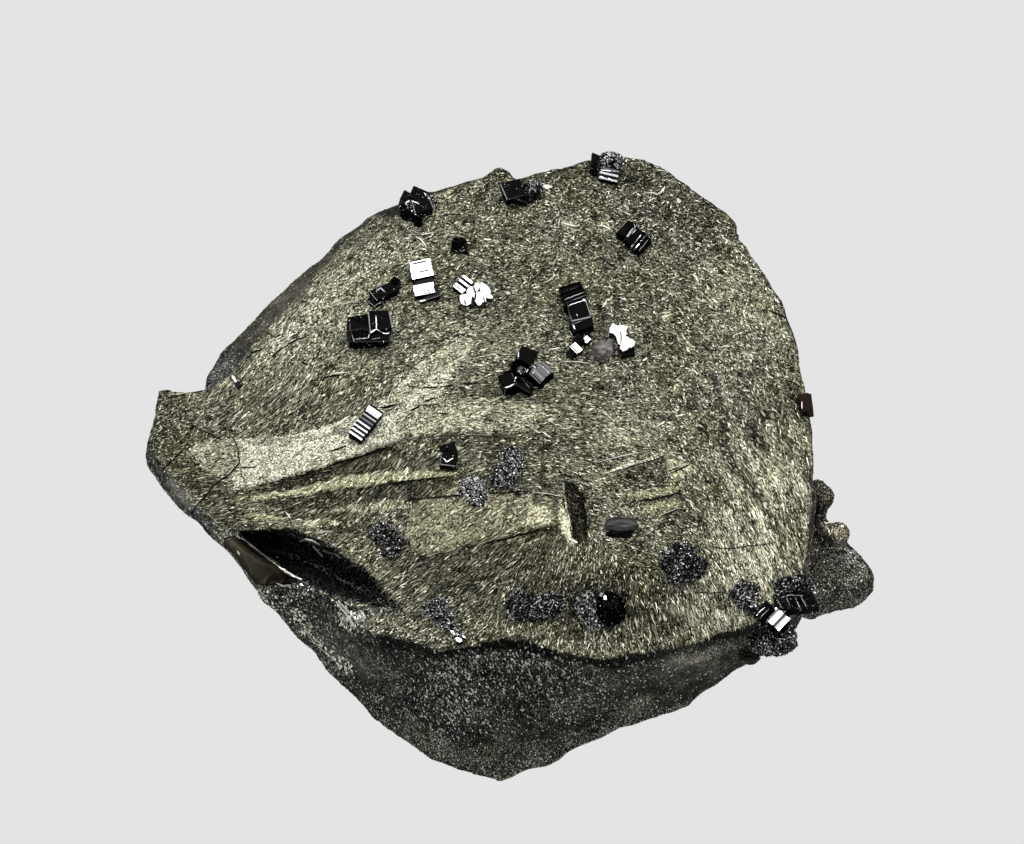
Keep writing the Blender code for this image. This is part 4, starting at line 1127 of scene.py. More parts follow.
def raisedLine(bm, surface, line, width, shade, lift, draw):
    # A thin line that follows a path of photo pixels over a surface, narrow at its ends
    path = []
    for a, b in zip(line, line[1:]):
        steps = max(1, round(math.dist(a, b) / lineRules["step"]))
        path += [(a[0] + (b[0] - a[0]) * i / steps, a[1] + (b[1] - a[1]) * i / steps) for i in range(steps)]
    path.append(line[-1])
    wander = lineRules["wander"]
    hits = []
    for x, y in path:
        origin, ray = photoRay((x + draw.uniform(-wander, wander), y + draw.uniform(-wander, wander)))
        place, normal, _, _ = surface.ray_cast(origin, ray)
        if place is not None:
            hits.append((place, -normal if normal.dot(ray) > 0 else normal))
    before = None
    for i, (place, normal) in enumerate(hits):
        ahead = hits[min(i + 1, len(hits) - 1)][0] - hits[max(i - 1, 0)][0]
        side = ahead.cross(normal).normalized()
        nearEnd = min(i, len(hits) - 1 - i) / len(hits)
        half = width * photoView["millimetresPerPixel"] * mm / 2 * min(1.0, 0.4 + 2.4 * nearEnd)
        up, root, crest = normal * lift * mm, normal * lineRules["root"] * mm, half * lineRules["crest"]
        ring = [bm.verts.new(corner) for corner in (place + side * half - root, place + side * crest + up,
                                                    place - side * crest + up, place - side * half - root)]
        if before and (ring[1].co - before[1].co).length < lineRules["jump"] * mm:
            for j in range(len(ring)):
                after = (j + 1) % len(ring)
                face = bm.faces.new((before[j], ring[j], ring[after], before[after]))
                face[shadeLayer(bm)] = shade
        before = ring


# Painted shades of the ribbed plate's ribs, one after the other: the pale ones are painted glints
stripedShades = (0.75, 0.12, 0.62, 0.08, 0.7, 0.05, 0.5, 0.04, 0.3, 0.02, 0.34, 0.05, 0.97, 0.97, 0.97, 0.03)

# Each crystal: the node that it stands for, its finish, and its grains
crystals = {
    "backEdgeCluster": dict(node="bournonite_back_edge_cluster", finish="black", sparks=0.42, grains=[
        ("block", (410, 201), (1.7, 1.2, 1.1), -30), ("block", (422, 208), (1.7, 1.5, 1.2), 15),
        ("lump", (408, 213), (1.8, 1.2, 0.8), -40), ("block", (420, 197), (1.5, 0.9, 1.4), -25),
        ("lump", (418, 221), (0.8, 1.3, 0.6), 10)],
        highlightAndShadeLines=[([(402, 205), (410, 200), (419, 204)], 0.9, 0.7), ([(412, 213), (421, 217)], 0.9, 0.6),
               ([(424, 193), (430, 200)], 0.8, 0.8)]),
    "backEdgeDust": dict(finish="dusty", coat=0.45, grains=[
        ("lump", (429, 203), (1.3, 1.4, 1.0), 0), ("lump", (413, 208), (1.5, 1.2, 1.1), -30)]),
    "edgeTwin": dict(node="bournonite_edge_twin", finish="black", sparks=0.30, grains=[
        ("block", (513, 192), (1.9, 1.7, 1.5), 20), ("block", (522, 199), (1.2, 0.9, 1.1), -15),
        ("lump", (531, 191), (1.7, 1.9, 1.0), 35, dict(shade=0.12))]),
    "edgeTwinDust": dict(finish="dusty", coat=0.52, grains=[
        ("lump", (532, 189), (1.7, 1.5, 1.1), 35)]),
    "edgeTwinFlake": dict(finish="brown", grains=[
        ("flake", (546, 187), (1.2, 0.6, 0.2), -10, dict(shade=0.55))]),
    "backCogwheel": dict(node="bournonite_back_cogwheel", finish="dusty", coat=0.70, grains=[
        ("lump", (611, 161), (2.3, 1.9, 1.5), 0, dict(rough=0.12))]),
    "backCogwheelFoot": dict(finish="bright", grains=[
        ("ribs", (609, 176), (1.9, 1.2, 0.9), -14,
         dict(ribs=5, crowns=(0.55, 0.12, 0.8, 0.05, 0.35), flank=0.05, groove=0.06))],
        highlightAndShadeLines=[([(598, 176), (604, 178)], 1.8, 0.97), ([(608, 178), (613, 181)], 1.6, 0.9),
               ([(612, 182), (621, 178)], 1.2, 0.8), ([(601, 170), (620, 172)], 0.8, 0.85)]),
    "backCogwheelSide": dict(finish="black", sparks=0.30, grains=[
        ("block", (595, 165), (0.8, 1.7, 1.3), -10)]),
    "ribbedDrum": dict(node="bournonite_ribbed_drum", finish="black", grains=[
        ("block", (627, 232), (1.2, 1.7, 1.6), -38),
        ("ribs", (638, 242), (1.9, 1.7, 1.5), 50, dict(ribs=6, crowns=(0.02, 0.04), flank=0.03))],
        highlightAndShadeLines=[([(623, 242), (626, 238), (633, 228)], 0.9, 0.6), ([(630, 249), (641, 235)], 1.5, 0.97),
               ([(634, 250), (646, 235)], 1.3, 0.97), ([(638, 252), (648, 240)], 0.6, 0.35),
               ([(634, 224), (636, 230), (632, 234)], 0.7, 0.5)]),
    "blackGrain": dict(node="bournonite_black_grain", finish="black", sparks=0.2, grains=[
        ("lump", (459, 244), (1.6, 1.5, 1.1), 0, dict(shade=0.01, rough=0.2)),
        ("block", (463, 248), (0.8, 0.9, 0.7), 10)],
        highlightAndShadeLines=[([(451, 249), (458, 252), (465, 250)], 0.8, 0.35)]),
    "brightPlates": dict(node="bournonite_bright_plates", finish="bright", grains=[
        ("ribs", (421.5, 271), (2.1, 1.7, 1.2), 13,
         dict(ribs=3, crowns=(0.97,), flank=0.35, groove=0.03, crownShare=0.98)),
        ("ribs", (424, 291), (1.95, 1.05, 1.0), 12,
         dict(ribs=3, crowns=(0.97,), flank=0.25, groove=0.03, crownShare=0.97)),
        ("block", (423, 283), (1.9, 0.8, 0.7), 12, dict(shade=0.02, edge=0.1)),
        ("block", (432, 293), (1.2, 1.2, 0.7), 12, dict(shade=0.02, edge=0.4))],
        highlightAndShadeLines=[([(410, 264.5), (429, 260.5)], 1.9, 0.16), ([(411, 274), (432, 269)], 1.0, 0.05),
               ([(410, 267), (424, 263.5)], 0.8, 0.1), ([(424, 288), (434, 286.5)], 0.9, 0.05),
               ([(425, 291), (434, 289.5)], 0.9, 0.05), ([(422, 294), (432, 292)], 0.8, 0.1)]),
    "brightPlatesFoot": dict(finish="bright", grains=[
        ("ribs", (427, 300), (1.4, 0.3, 0.4), 16, dict(ribs=1, crowns=(0.85,)))]),
    "darkSplinter": dict(node="bournonite_dark_splinter", finish="black", sparks=0.42, grains=[
        ("block", (385, 293), (2.4, 1.25, 1.1), 30), ("block", (374, 301), (1.0, 1.0, 0.8), 40),
        ("block", (396, 284), (0.6, 0.8, 1.2), 60)],
        highlightAndShadeLines=[([(376, 291), (381, 288), (385, 292)], 0.8, 0.5)]),
    "blackBlock": dict(node="bournonite_black_block", finish="black", sparks=0.16, grains=[
        ("block", (361, 328), (2.3, 1.7, 1.9), 6), ("block", (381, 325), (1.9, 1.9, 1.95), 4),
        ("block", (371, 339), (3.7, 1.2, 1.7), 3), ("block", (357, 338), (1.5, 1.0, 1.75), 8)],
        highlightAndShadeLines=[([(376, 316), (376.5, 329)], 1.0, 0.85), ([(376.5, 329), (369.5, 333.5)], 1.2, 0.9),
               ([(369.5, 333.5), (368, 338)], 0.8, 0.6), ([(367, 338), (352, 340)], 0.7, 0.6),
               ([(376.5, 329), (384, 333.5), (391, 333)], 0.9, 0.7), ([(372, 339), (380, 338)], 0.7, 0.3),
               ([(350, 322), (350, 346)], 0.6, 0.2)]),
    "whiteCluster": dict(node="bournonite_white_cluster", finish="bright", grains=[
        ("ribs", (463, 286), (1.2, 1.5, 1.1), -40,
         dict(ribs=6, crowns=(0.97, 0.97, 0.05, 0.97, 0.02, 0.97), flank=0.1, groove=0.04, crownShare=0.95)),
        ("block", (468, 302), (1.4, 0.8, 0.4), -20, dict(shade=0.02, edge=0.1))]),
    # Flakes painted white as the mirror glints of the crystal faces
    "mirrorGlintFlakes": dict(finish="mirrorGlint", grains=[
        ("flake", (466, 300), (1.2, 1.6, 0.7), 20), ("flake", (472, 293), (1.1, 1.3, 0.8), 60),
        ("flake", (480, 300), (1.4, 1.6, 0.75), -20), ("flake", (485, 290), (1.1, 1.7, 0.85), 30),
        ("flake", (489, 297), (0.7, 1.0, 0.7), 30), ("flake", (477, 289), (0.8, 0.9, 1.0), 10)],
        highlightAndShadeLines=[([(473, 287), (476, 294), (474, 303)], 1.5, 0.05), ([(464, 300), (466, 305)], 1.2, 0.15),
               ([(483, 296), (485, 303)], 1.0, 0.1), ([(478, 290), (481, 292)], 1.2, 0.1)]),
    "largeCogwheel": dict(node="bournonite_large_cogwheel", finish="black", grains=[
        ("ribs", (573, 296), (2.2, 1.9, 1.6), 18, dict(ribs=7, crowns=(0.02, 0.05), flank=0.02)),
        ("block", (579, 313), (2.0, 1.8, 1.8), 14), ("block", (582, 325), (2.0, 1.2, 1.3), 14),
        ("lump", (576, 304), (2.4, 1.8, 1.4), 14, dict(shade=0.01, rough=0.1))],
        highlightAndShadeLines=[([(563, 300.5), (584, 292)], 0.8, 0.40), ([(565, 307), (587, 299)], 0.9, 0.55),
               ([(562, 293), (578, 286.5)], 0.6, 0.25), ([(564, 304), (585, 295.5)], 0.6, 0.3),
               ([(568, 309.5), (573, 324)], 0.6, 0.30), ([(588, 302), (593, 316)], 1.2, 0.5),
               ([(573, 324), (590, 317.5)], 0.7, 0.35), ([(573, 325), (575, 329)], 1.4, 0.8),
               ([(582, 298), (586, 302)], 1.4, 0.7), ([(576, 314), (578, 316)], 0.8, 0.5)]),
    "smallBrightPair": dict(node="bournonite_small_bright_pair", finish="bright", grains=[
        ("ribs", (577, 349.5), (1.1, 0.5, 1.0), -46, dict(ribs=1, crowns=(0.97,), crownShare=0.97)),
        ("ribs", (573.5, 351.5), (1.1, 0.12, 0.9), -46, dict(ribs=1, crowns=(0.9,))),
        ("ribs", (586.5, 341), (0.62, 0.55, 0.9), -46, dict(ribs=1, crowns=(0.97,), crownShare=0.97))]),
    "smallPairFoot": dict(finish="black", grains=[
        ("block", (579, 341), (0.9, 0.8, 0.9), -46), ("block", (572, 354), (0.8, 0.9, 0.6), -46),
        ("block", (586, 334), (0.8, 0.5, 0.6), -46)],
        highlightAndShadeLines=[([(581, 333), (588, 338)], 1.0, 0.8)]),
    "quartzGrain": dict(node="quartz_grain", finish="quartz", grains=[
        ("lump", (603, 348), (2.0, 1.7, 1.2), 20, dict(rough=0.2)),
        ("lump", (610, 344), (0.9, 1.2, 1.2), 0, dict(rough=0.2))]),
    # The knot's white flakes paint its mirror glint
    "mirrorKnot": dict(node="bournonite_mirror_knot", finish="mirrorGlint", grains=[
        ("flake", (616, 332), (1.3, 1.5, 0.9), 40), ("flake", (622, 332), (1.2, 1.4, 0.95), 0),
        ("flake", (622, 341), (1.1, 1.7, 0.9), 0), ("flake", (628, 344), (1.3, 1.3, 0.85), -30),
        ("flake", (624, 349), (1.0, 0.8, 0.8), 30)],
        highlightAndShadeLines=[([(620, 331), (621.5, 336), (620.5, 344)], 1.2, 0.25)]),
    # A black block painted as the knot's shadow
    "mirrorKnotShadow": dict(finish="black", grains=[
        ("block", (627, 353), (1.6, 0.7, 0.4), 14)]),
    "blackTriplet": dict(node="bournonite_black_triplet", finish="black", grains=[
        ("lump", (511, 380), (2.1, 2.3, 1.8), 12, dict(shade=0.01, rough=0.14)),
        ("block", (508, 384), (1.3, 1.4, 1.75), 24), ("block", (527, 359), (1.5, 1.7, 1.7), 68),
        ("lump", (521, 366), (1.6, 1.9, 1.4), 60, dict(shade=0.01, rough=0.14)),
        ("block", (523, 386), (1.7, 0.9, 1.3), -30),
        ("lump", (524, 377), (2.6, 2.4, 1.3), 20, dict(shade=0.015, rough=0.2)),
        ("ribs", (541, 375), (1.6, 1.7, 1.8), -46,
         dict(ribs=9, crowns=(0.24, 0.19, 0.27), flank=0.06, groove=0.03, crownShare=0.95))],
        highlightAndShadeLines=[([(519.3, 348), (517.6, 361.5)], 0.9, 0.6), ([(503, 388), (508, 387), (514, 384)], 1.0, 0.75),
               ([(520.5, 366), (521, 374)], 2.2, 0.55), ([(526, 372), (532, 366), (538, 361.5)], 2.4, 0.6),
               ([(538.4, 362), (551.6, 375)], 0.9, 0.5), ([(521, 378), (529.5, 388)], 0.6, 0.25),
               ([(516, 377), (514.5, 382)], 1.2, 0.7), ([(529, 377), (534, 372)], 1.2, 0.5)]),
    "blackTripletDust": dict(finish="dusty", coat=0.58, grains=[
        ("lump", (522, 372), (0.9, 0.8, 1.75), 0), ("lump", (535, 368), (0.7, 1.4, 1.8), 44)]),
    "ribbedPlate": dict(node="bournonite_ribbed_plate", finish="bright", grains=[
        ("ribs", (366, 424), (1.55, 3.35, 1.2), -36,
         dict(ribs=16, crowns=stripedShades, flank=0.06, groove=0.05))]),
    "smallBlackPair": dict(node="bournonite_small_black_pair", finish="black", sparks=0.2, grains=[
        ("block", (452, 450), (0.8, 1.1, 1.0), 20), ("block", (449, 461), (1.4, 1.3, 1.1), -10),
        ("block", (444, 449), (0.7, 0.6, 0.6), 20)],
        highlightAndShadeLines=[([(443, 458), (447, 462), (453, 458)], 1.1, 0.75)]),
    "dustyUpper": dict(node="bournonite_dusty_upper", finish="dusty", coat=0.52, grains=[
        ("lump", (512, 459), (2.2, 2.3, 0.8), 10), ("lump", (507, 473), (2.2, 2.0, 0.8), 10),
        ("lump", (500, 480), (1.6, 1.3, 0.6), 10)]),
    "dustyLower": dict(node="bournonite_dusty_lower", finish="dusty", coat=0.72, grains=[
        ("lump", (472, 488), (2.3, 2.0, 0.7), 30), ("lump", (477, 495), (2.2, 1.9, 0.7), 0)]),
    "dustyLeft": dict(node="bournonite_dusty_left", finish="dusty", coat=0.30, grains=[
        ("lump", (383, 533), (2.0, 1.9, 0.9), 60), ("lump", (393, 539), (1.8, 2.0, 1.0), 60),
        ("lump", (391, 551), (1.7, 1.1, 0.7), 0)]),
    # A pale line along its top is a painted highlight, and the black lump below is its painted shadow
    "smoothKnob": dict(node="bournonite_smooth_knob", finish="dusty", grains=[
        ("lump", (622, 524), (2.9, 1.5, 0.7), 4, dict(shade=0.24, rough=0.2)),
        ("lump", (620, 533), (2.4, 0.8, 0.4), 0, dict(shade=0.01))],
        highlightAndShadeLines=[([(610, 524), (622, 527), (634, 526)], 0.9, 0.30)]),
    "dustyRight": dict(node="bournonite_dusty_right", finish="dusty", coat=0.27, grains=[
        ("lump", (680, 555), (3.0, 2.5, 0.8), 30), ("lump", (690, 566), (2.9, 2.4, 0.8), 0),
        ("lump", (678, 569), (2.2, 2.2, 0.7), 0)]),
    "dustyFront": dict(node="bournonite_dusty_front", finish="dusty", coat=0.54, grains=[
        ("lump", (436, 607), (2.6, 1.9, 1.1), 0), ("lump", (446, 620), (1.6, 1.6, 0.9), -40),
        ("lump", (456, 632), (1.6, 0.9, 0.9), -40)]),
    "dustyFrontTail": dict(finish="bright", grains=[
        ("flake", (453, 634), (0.7, 0.3, 0.9), -42, dict(shade=0.7, corners=6)),
        ("flake", (459, 641), (0.8, 0.45, 0.7), -30, dict(shade=0.9, corners=6)),
        ("flake", (464, 638), (0.6, 0.2, 0.7), -45, dict(shade=0.6, corners=5))]),
    "dustyLong": dict(node="bournonite_dusty_long", finish="dusty", coat=0.30, grains=[
        ("lump", (520, 604), (2.4, 2.6, 0.8), 0), ("lump", (534, 606), (2.3, 2.5, 0.8), 30),
        ("lump", (550, 605), (2.6, 2.1, 0.7), 30)]),
    # The two pale flakes paint the dome's glint
    "blackDome": dict(node="bournonite_black_dome", finish="black", sparks=0.12, grains=[
        ("lump", (610, 606), (3.0, 3.2, 1.7), 10, dict(shade=0.01, rough=0.10)),
        ("flake", (601, 598), (0.5, 0.4, 1.8), 25, dict(shade=0.6, tip=0.5)),
        ("flake", (605, 601), (0.35, 0.5, 1.8), 0, dict(shade=0.9, tip=0.5))]),
    "blackDomeCrust": dict(finish="dusty", coat=0.52, grains=[
        ("lump", (588, 606), (1.9, 3.1, 1.2), 10), ("lump", (594, 621), (2.0, 1.2, 0.8), 10)]),
    "edgeGrain": dict(node="bournonite_edge_grain", finish="brown", base=16.2, grains=[
        ("block", (805, 403), (1.2, 1.9, 0.9), 10, dict(shade=0.09, edge=0.4))],
        highlightAndShadeLines=[([(799, 392), (811, 393)], 1.8, 0.97), ([(802, 401), (802, 409)], 1.0, 0.7)]),
    # The small dark block is the flake's painted shadow
    "bevelGrain": dict(node="bournonite_bevel_grain", finish="bright", grains=[
        ("flake", (234.5, 380), (1.3, 0.28, 0.45), -57, dict(shade=0.5, corners=7)),
        ("block", (238, 385), (0.5, 0.5, 0.3), -57, dict(shade=0.05, edge=0.3))]),
    "cornerBlock": dict(node="bournonite_corner_cluster", finish="dusty", coat=0.40, grains=[
        ("block", (742, 594), (1.6, 1.7, 1.2), -40), ("lump", (749, 604), (1.9, 1.3, 0.9), -40),
        ("lump", (751, 590), (1.5, 1.5, 1.1), 0)],
        highlightAndShadeLines=[([(738, 594), (744, 590), (749, 595), (743, 600), (738, 594)], 0.8, 0.6)]),
    "cornerCrust": dict(finish="dusty", coat=0.33, base=13.5, grains=[
        ("lump", (771, 638), (3.4, 2.4, 1.8), 20, dict(sink=0.6)),
        ("lump", (785, 634), (1.9, 2.2, 2.2), 20, dict(sink=0.6)),
        ("lump", (782, 646), (2.2, 1.4, 1.0), 20, dict(sink=0.4))],
        highlightAndShadeLines=[([(780, 628), (784, 640), (785, 652)], 1.4, 0.5),
               ([(788, 624), (791, 636), (792, 648)], 1.4, 0.55),
               ([(765, 634), (772, 644)], 1.2, 0.45), ([(772, 630), (779, 638)], 1.0, 0.4)]),
    "cornerRidge": dict(finish="dusty", coat=0.30, base=15.4, grains=[
        ("block", (783, 588), (1.8, 1.3, 1.6), 18, dict(shade=0.05)),
        ("lump", (795, 584), (2.2, 1.6, 1.5), 18, dict(sink=0.5)),
        ("block", (806, 586), (1.1, 1.5, 1.3), 30, dict(shade=0.05))]),
    "cornerFoot": dict(finish="brown", base=11.0, grains=[
        ("lump", (750, 656), (1.7, 1.0, 1.0), 0, dict(shade=0.12))]),
    "cornerBarrel": dict(finish="black", base=15.4, sparks=0.25, grains=[
        ("ribs", (794, 603), (1.7, 3.6, 1.6), -64,
         dict(ribs=9, crowns=(0.07, 0.03, 0.10, 0.04), flank=0.03, shear=0.35, sink=0.25)),
        ("lump", (794, 604), (3.4, 1.5, 1.2), 18, dict(shade=0.02, rough=0.1))],
        highlightAndShadeLines=[([(797, 591), (801, 593)], 2.0, 0.97), ([(777, 599), (783, 610)], 0.7, 0.3),
               ([(786, 597), (792, 611)], 0.9, 0.35), ([(795, 597), (801, 610)], 0.9, 0.5),
               ([(801, 597), (807, 608)], 0.8, 0.35), ([(779, 598), (790, 595), (806, 596)], 0.8, 0.4)]),
    "cornerBar": dict(finish="black", base=16.2, grains=[
        ("ribs", (764, 613), (1.9, 1.2, 1.3), 48, dict(ribs=3, crowns=(0.03, 0.06, 0.03), flank=0.03))],
        highlightAndShadeLines=[([(755, 617), (765, 607)], 1.5, 0.97), ([(758, 620), (769, 609)], 0.8, 0.4)]),
    "cornerMirror": dict(finish="bright", base=15.6, grains=[
        ("ribs", (777, 621), (1.7, 1.7, 1.4), 48,
         dict(ribs=9, crowns=(0.97, 0.97, 0.35, 0.2, 0.97, 0.97, 0.45, 0.25, 0.9), flank=0.1, groove=0.04,
              crownShare=0.96)),
        ("flake", (767, 622), (1.0, 0.6, 1.2), 10, dict(shade=0.97, corners=5))]),
    "cornerStain": dict(finish="stain", base=15.6, grains=[
        ("flake", (768, 617), (1.5, 0.42, 1.45), 46, dict(shade=0.7, corners=7))]),
}

# Lines of the etched face and its edges, in photo pixels: path, width in pixels, shade. The pale ones are
# partly painted highlights along lit edges, partly pale streaks
faceLines = {
    "crackLines": [
        ([(234, 439), (238, 450), (239.5, 463), (228, 476), (213, 486), (206, 496), (196.5, 506),
          (191.5, 513)], 1.3, 0.0),
        ([(161.5, 471), (170, 463), (178, 455), (185.5, 447)], 1.3, 0.0),
        ([(155, 459.5), (161.5, 465)], 1.4, 0.0),
        ([(185, 423), (201, 430), (219.5, 438)], 0.9, 0.05),
        ([(240, 468), (242, 476), (246, 483)], 0.9, 0.05),
        ([(185.5, 447), (193, 456), (199, 466)], 0.7, 0.1),
        ([(331, 451.5), (338, 449), (346, 446)], 1.8, 0.0),
        ([(381, 407.5), (387, 407), (395, 404.6)], 2.4, 0.0),
        ([(410, 411), (415, 409), (420, 406)], 2.0, 0.0),
        ([(424, 402), (430, 400), (435, 398)], 2.2, 0.0),
        ([(408, 386), (418, 387)], 1.6, 0.0), ([(424, 388), (437, 387.5)], 1.3, 0.0),
        ([(443, 386.5), (452, 385.5)], 1.6, 0.0), ([(460, 384), (476, 384)], 1.2, 0.0),
        ([(380, 484.5), (405, 481), (430, 478.5), (453, 476)], 1.4, 0.0),
        ([(320, 468.5), (350, 459), (376, 451.5), (386, 448)], 1.8, 0.0),
        ([(605, 474.5), (620, 470), (634, 466), (650, 461), (663, 456.5)], 1.4, 0.0),
        ([(673.5, 472.5), (682, 468), (691, 464)], 1.6, 0.0),
        ([(634, 501), (644, 500), (653, 499.5), (668, 496), (682, 491)], 1.4, 0.0),
        ([(661.5, 516), (670, 513), (679, 509)], 1.3, 0.0),
        ([(711, 547), (730, 549), (748, 546), (763, 545), (777, 541.5)], 0.9, 0.05),
        ([(694, 592.5), (710, 593), (725, 591.5)], 0.8, 0.05),
        ([(596.5, 253), (604, 261), (612, 265), (618, 268.5)], 1.2, 0.0),
        ([(268.5, 360), (279.5, 350.5), (293, 341.5), (308.5, 335.5)], 1.2, 0.0),
        ([(322, 381), (325, 378), (329, 376.7), (342, 375)], 2.0, 0.0),
        ([(236, 468), (256, 467)], 0.7, 0.1), ([(262, 350), (252, 353), (246, 361)], 1.4, 0.05),
        ([(266, 333), (276, 338), (283, 334)], 1.0, 0.1), ([(302, 362), (307, 365)], 2.2, 0.05),
        ([(408, 500), (440, 497), (480, 493.5), (530, 492)], 1.2, 0.05),
        ([(498, 541), (520, 535), (545, 529), (558, 531)], 1.6, 0.0),
        ([(770, 311), (786, 318)], 2.0, 0.0)],
    # Pale lines: painted highlights along edges, and pale streaks
    "silverLines": [
        ([(332, 374.5), (339, 373), (346, 373)], 1.4, 0.95),
        ([(296, 375), (299, 383), (301, 390)], 0.9, 0.55),
        ([(239, 537), (246, 542), (254, 548), (264, 556), (273, 563), (284, 570)], 0.8, 0.75),
        ([(279, 567.5), (286, 571.5), (293, 576), (301, 580)], 2.8, 1.4),
        ([(236.5, 535), (240, 539)], 1.8, 0.9), ([(238, 551.5), (240, 555)], 1.6, 0.8),
        ([(313, 545.5), (318, 551), (323, 556.5)], 1.3, 0.97),
        ([(300, 541), (306, 539), (313, 541), (320, 544.5)], 2.6, 0.75),
        ([(317, 533.5), (325, 532), (333, 532)], 3.0, 0.6),
        ([(323, 550), (329, 553), (335, 554), (341, 558)], 1.6, 0.5),
        ([(347, 568), (352, 566), (357, 565.5)], 2.4, 0.42), ([(286, 512), (291, 519)], 2.2, 0.95),
        ([(336, 602), (342, 609), (349, 617), (355, 626)], 2.6, 0.97),
        ([(338, 601), (344, 607), (350, 613)], 2.6, 0.9), ([(341, 612), (347, 619), (352, 625)], 1.6, 0.7),
        ([(352, 613), (358, 616), (364, 621)], 1.2, 0.8), ([(355, 622), (361, 625), (367, 623)], 1.2, 0.7),
        ([(276, 583), (283, 586), (291, 585)], 2.0, 0.85), ([(305, 628), (309, 634), (313, 640)], 2.0, 0.9),
        ([(326, 650), (331, 656), (337, 661)], 1.8, 0.85), ([(315, 637), (318, 641)], 2.2, 0.8),
        ([(562.5, 482.5), (564, 491)], 1.2, 0.95),
        ([(564, 496), (566, 508), (569, 520), (571, 530)], 1.6, 0.95),
        ([(568, 538), (573, 541), (577, 543)], 2.6, 1.0), ([(545, 512), (552, 519), (560, 520)], 0.9, 0.8),
        ([(567, 478), (575, 480.5)], 1.3, 0.6), ([(579, 482), (590, 486)], 1.5, 0.7),
        ([(594, 488), (603, 491)], 1.5, 0.7), ([(606, 493), (613, 497)], 1.5, 0.65),
        ([(583, 478), (592, 481)], 1.1, 0.6), ([(588, 490), (596, 493)], 1.1, 0.55),
        ([(587, 500), (589, 508)], 0.8, 0.6), ([(589, 514), (588, 526)], 0.8, 0.55),
        ([(532, 493), (548, 494), (562, 497)], 1.1, 0.7), ([(540, 500.5), (550, 501), (558, 503)], 0.9, 0.5),
        ([(561, 223), (568, 225), (577, 227)], 2.6, 0.97), ([(570, 229), (575, 231)], 1.4, 0.9),
        ([(597, 226), (603, 226), (611, 230)], 2.4, 0.97), ([(606, 223), (610, 228)], 1.4, 0.9),
        ([(647, 193), (653, 193.5), (658, 195.5)], 1.8, 0.97), ([(624, 207), (628.5, 208)], 1.5, 0.9),
        ([(624, 212), (630, 216)], 1.5, 0.9), ([(647, 219.5), (653, 221)], 1.5, 0.95),
        ([(543, 284), (549, 281), (555, 276), (553, 272)], 1.3, 0.9), ([(540, 316), (546, 317)], 1.6, 0.95),
        ([(585, 229), (592, 232)], 1.8, 0.8), ([(586, 221), (594, 224)], 1.4, 0.75),
        ([(619.5, 297.5), (626, 301)], 1.5, 0.9), ([(622, 309), (629, 311)], 1.5, 0.9),
        ([(639.5, 366), (642, 363)], 1.5, 0.9), ([(643, 361), (647, 358.5)], 2.4, 1.0),
        ([(560, 361.5), (575, 362), (589, 363.5)], 0.9, 0.85), ([(550.5, 350), (560, 348)], 1.6, 0.95),
        ([(449, 232.8), (458, 232.5)], 0.9, 0.97), ([(449, 235.7), (455, 235)], 0.9, 0.97),
        ([(416, 237), (421, 240), (427, 248)], 2.6, 0.85), ([(422.5, 235), (434, 233)], 1.6, 0.85),
        ([(420, 243), (424, 247)], 2.0, 0.75), ([(505, 392), (519, 394)], 1.4, 0.95),
        ([(497, 386), (503, 387)], 1.4, 0.9), ([(496, 372), (503, 371)], 1.6, 0.9),
        ([(503, 361), (505, 364)], 3.0, 0.9), ([(430, 439), (450, 436.5)], 0.8, 0.7),
        ([(470, 434), (492, 435)], 0.9, 0.75), ([(503, 435.5), (520, 437)], 0.8, 0.7),
        ([(600, 462), (618, 457), (640, 453), (652, 451)], 1.3, 0.7),
        ([(612, 474), (634, 464), (660, 455)], 0.8, 0.9), ([(668, 470), (690, 462.5)], 0.8, 0.85),
        ([(662, 515), (678, 508)], 0.8, 0.8), ([(667, 461), (669, 476), (666, 482)], 1.0, 0.7),
        ([(771, 480), (777, 489)], 1.8, 0.7), ([(780, 493), (787, 502)], 1.7, 0.65),
        ([(785, 477), (789, 485)], 1.5, 0.65), ([(792, 490), (796, 499)], 1.6, 0.6),
        ([(770, 484), (776, 488)], 1.8, 0.75), ([(748, 585), (752, 592)], 1.8, 0.95)],
}


def crystalMaterial(name, low, high, roughness, metallic=0.9):
    # Each face is as dark or bright as its own shade says
    material, tree, shader = newMaterial(name)
    plain = millimetres(tree)
    fine = speckle(tree, plain, 0.14, 2.0, 0.5)
    shade = named(tree, "shade")
    blotch = calc(tree, "ADD", shade, centred(tree, fine, 0.08), clamp=True)
    dim = tuple(a + (b - a) * 0.14 for a, b in zip(low, high))
    colour = toneRamp(tree, blotch, [(0.0, low), (0.10, low), (0.35, dim), (1.0, high)])
    rough = calc(tree, "ADD", roughness, calc(tree, "MULTIPLY", fine, 0.10))
    bump = addNode(tree, "ShaderNodeBump", {"Strength": 0.25, "Distance": 0.02 * mm, "Height": fine})
    linkInto(tree, shader, colour=colour, metallic=metallic, roughness=rough, normal=bump.outputs[0])
    dimGrazing(shader, 0.08)
    return material


def quartzMaterial():
    material, tree, shader = newMaterial("quartzGrain")
    cloud = speckle(tree, millimetres(tree), 0.5, 3.0, 0.55)
    colour = toneRamp(tree, cloud, [(0.35, (0.07, 0.062, 0.060)), (0.65, (0.24, 0.21, 0.205))])
    linkInto(tree, shader, colour=colour, metallic=0.0, roughness=0.35)
    shader.inputs["Transmission Weight"].default_value = 0.25
    shader.inputs["IOR"].default_value = 1.54
    return material


def surfaceTree(obj):
    corners = [v.co for v in obj.data.vertices]
    return BVHTree.FromPolygons(corners, [tuple(p.vertices) for p in obj.data.polygons])


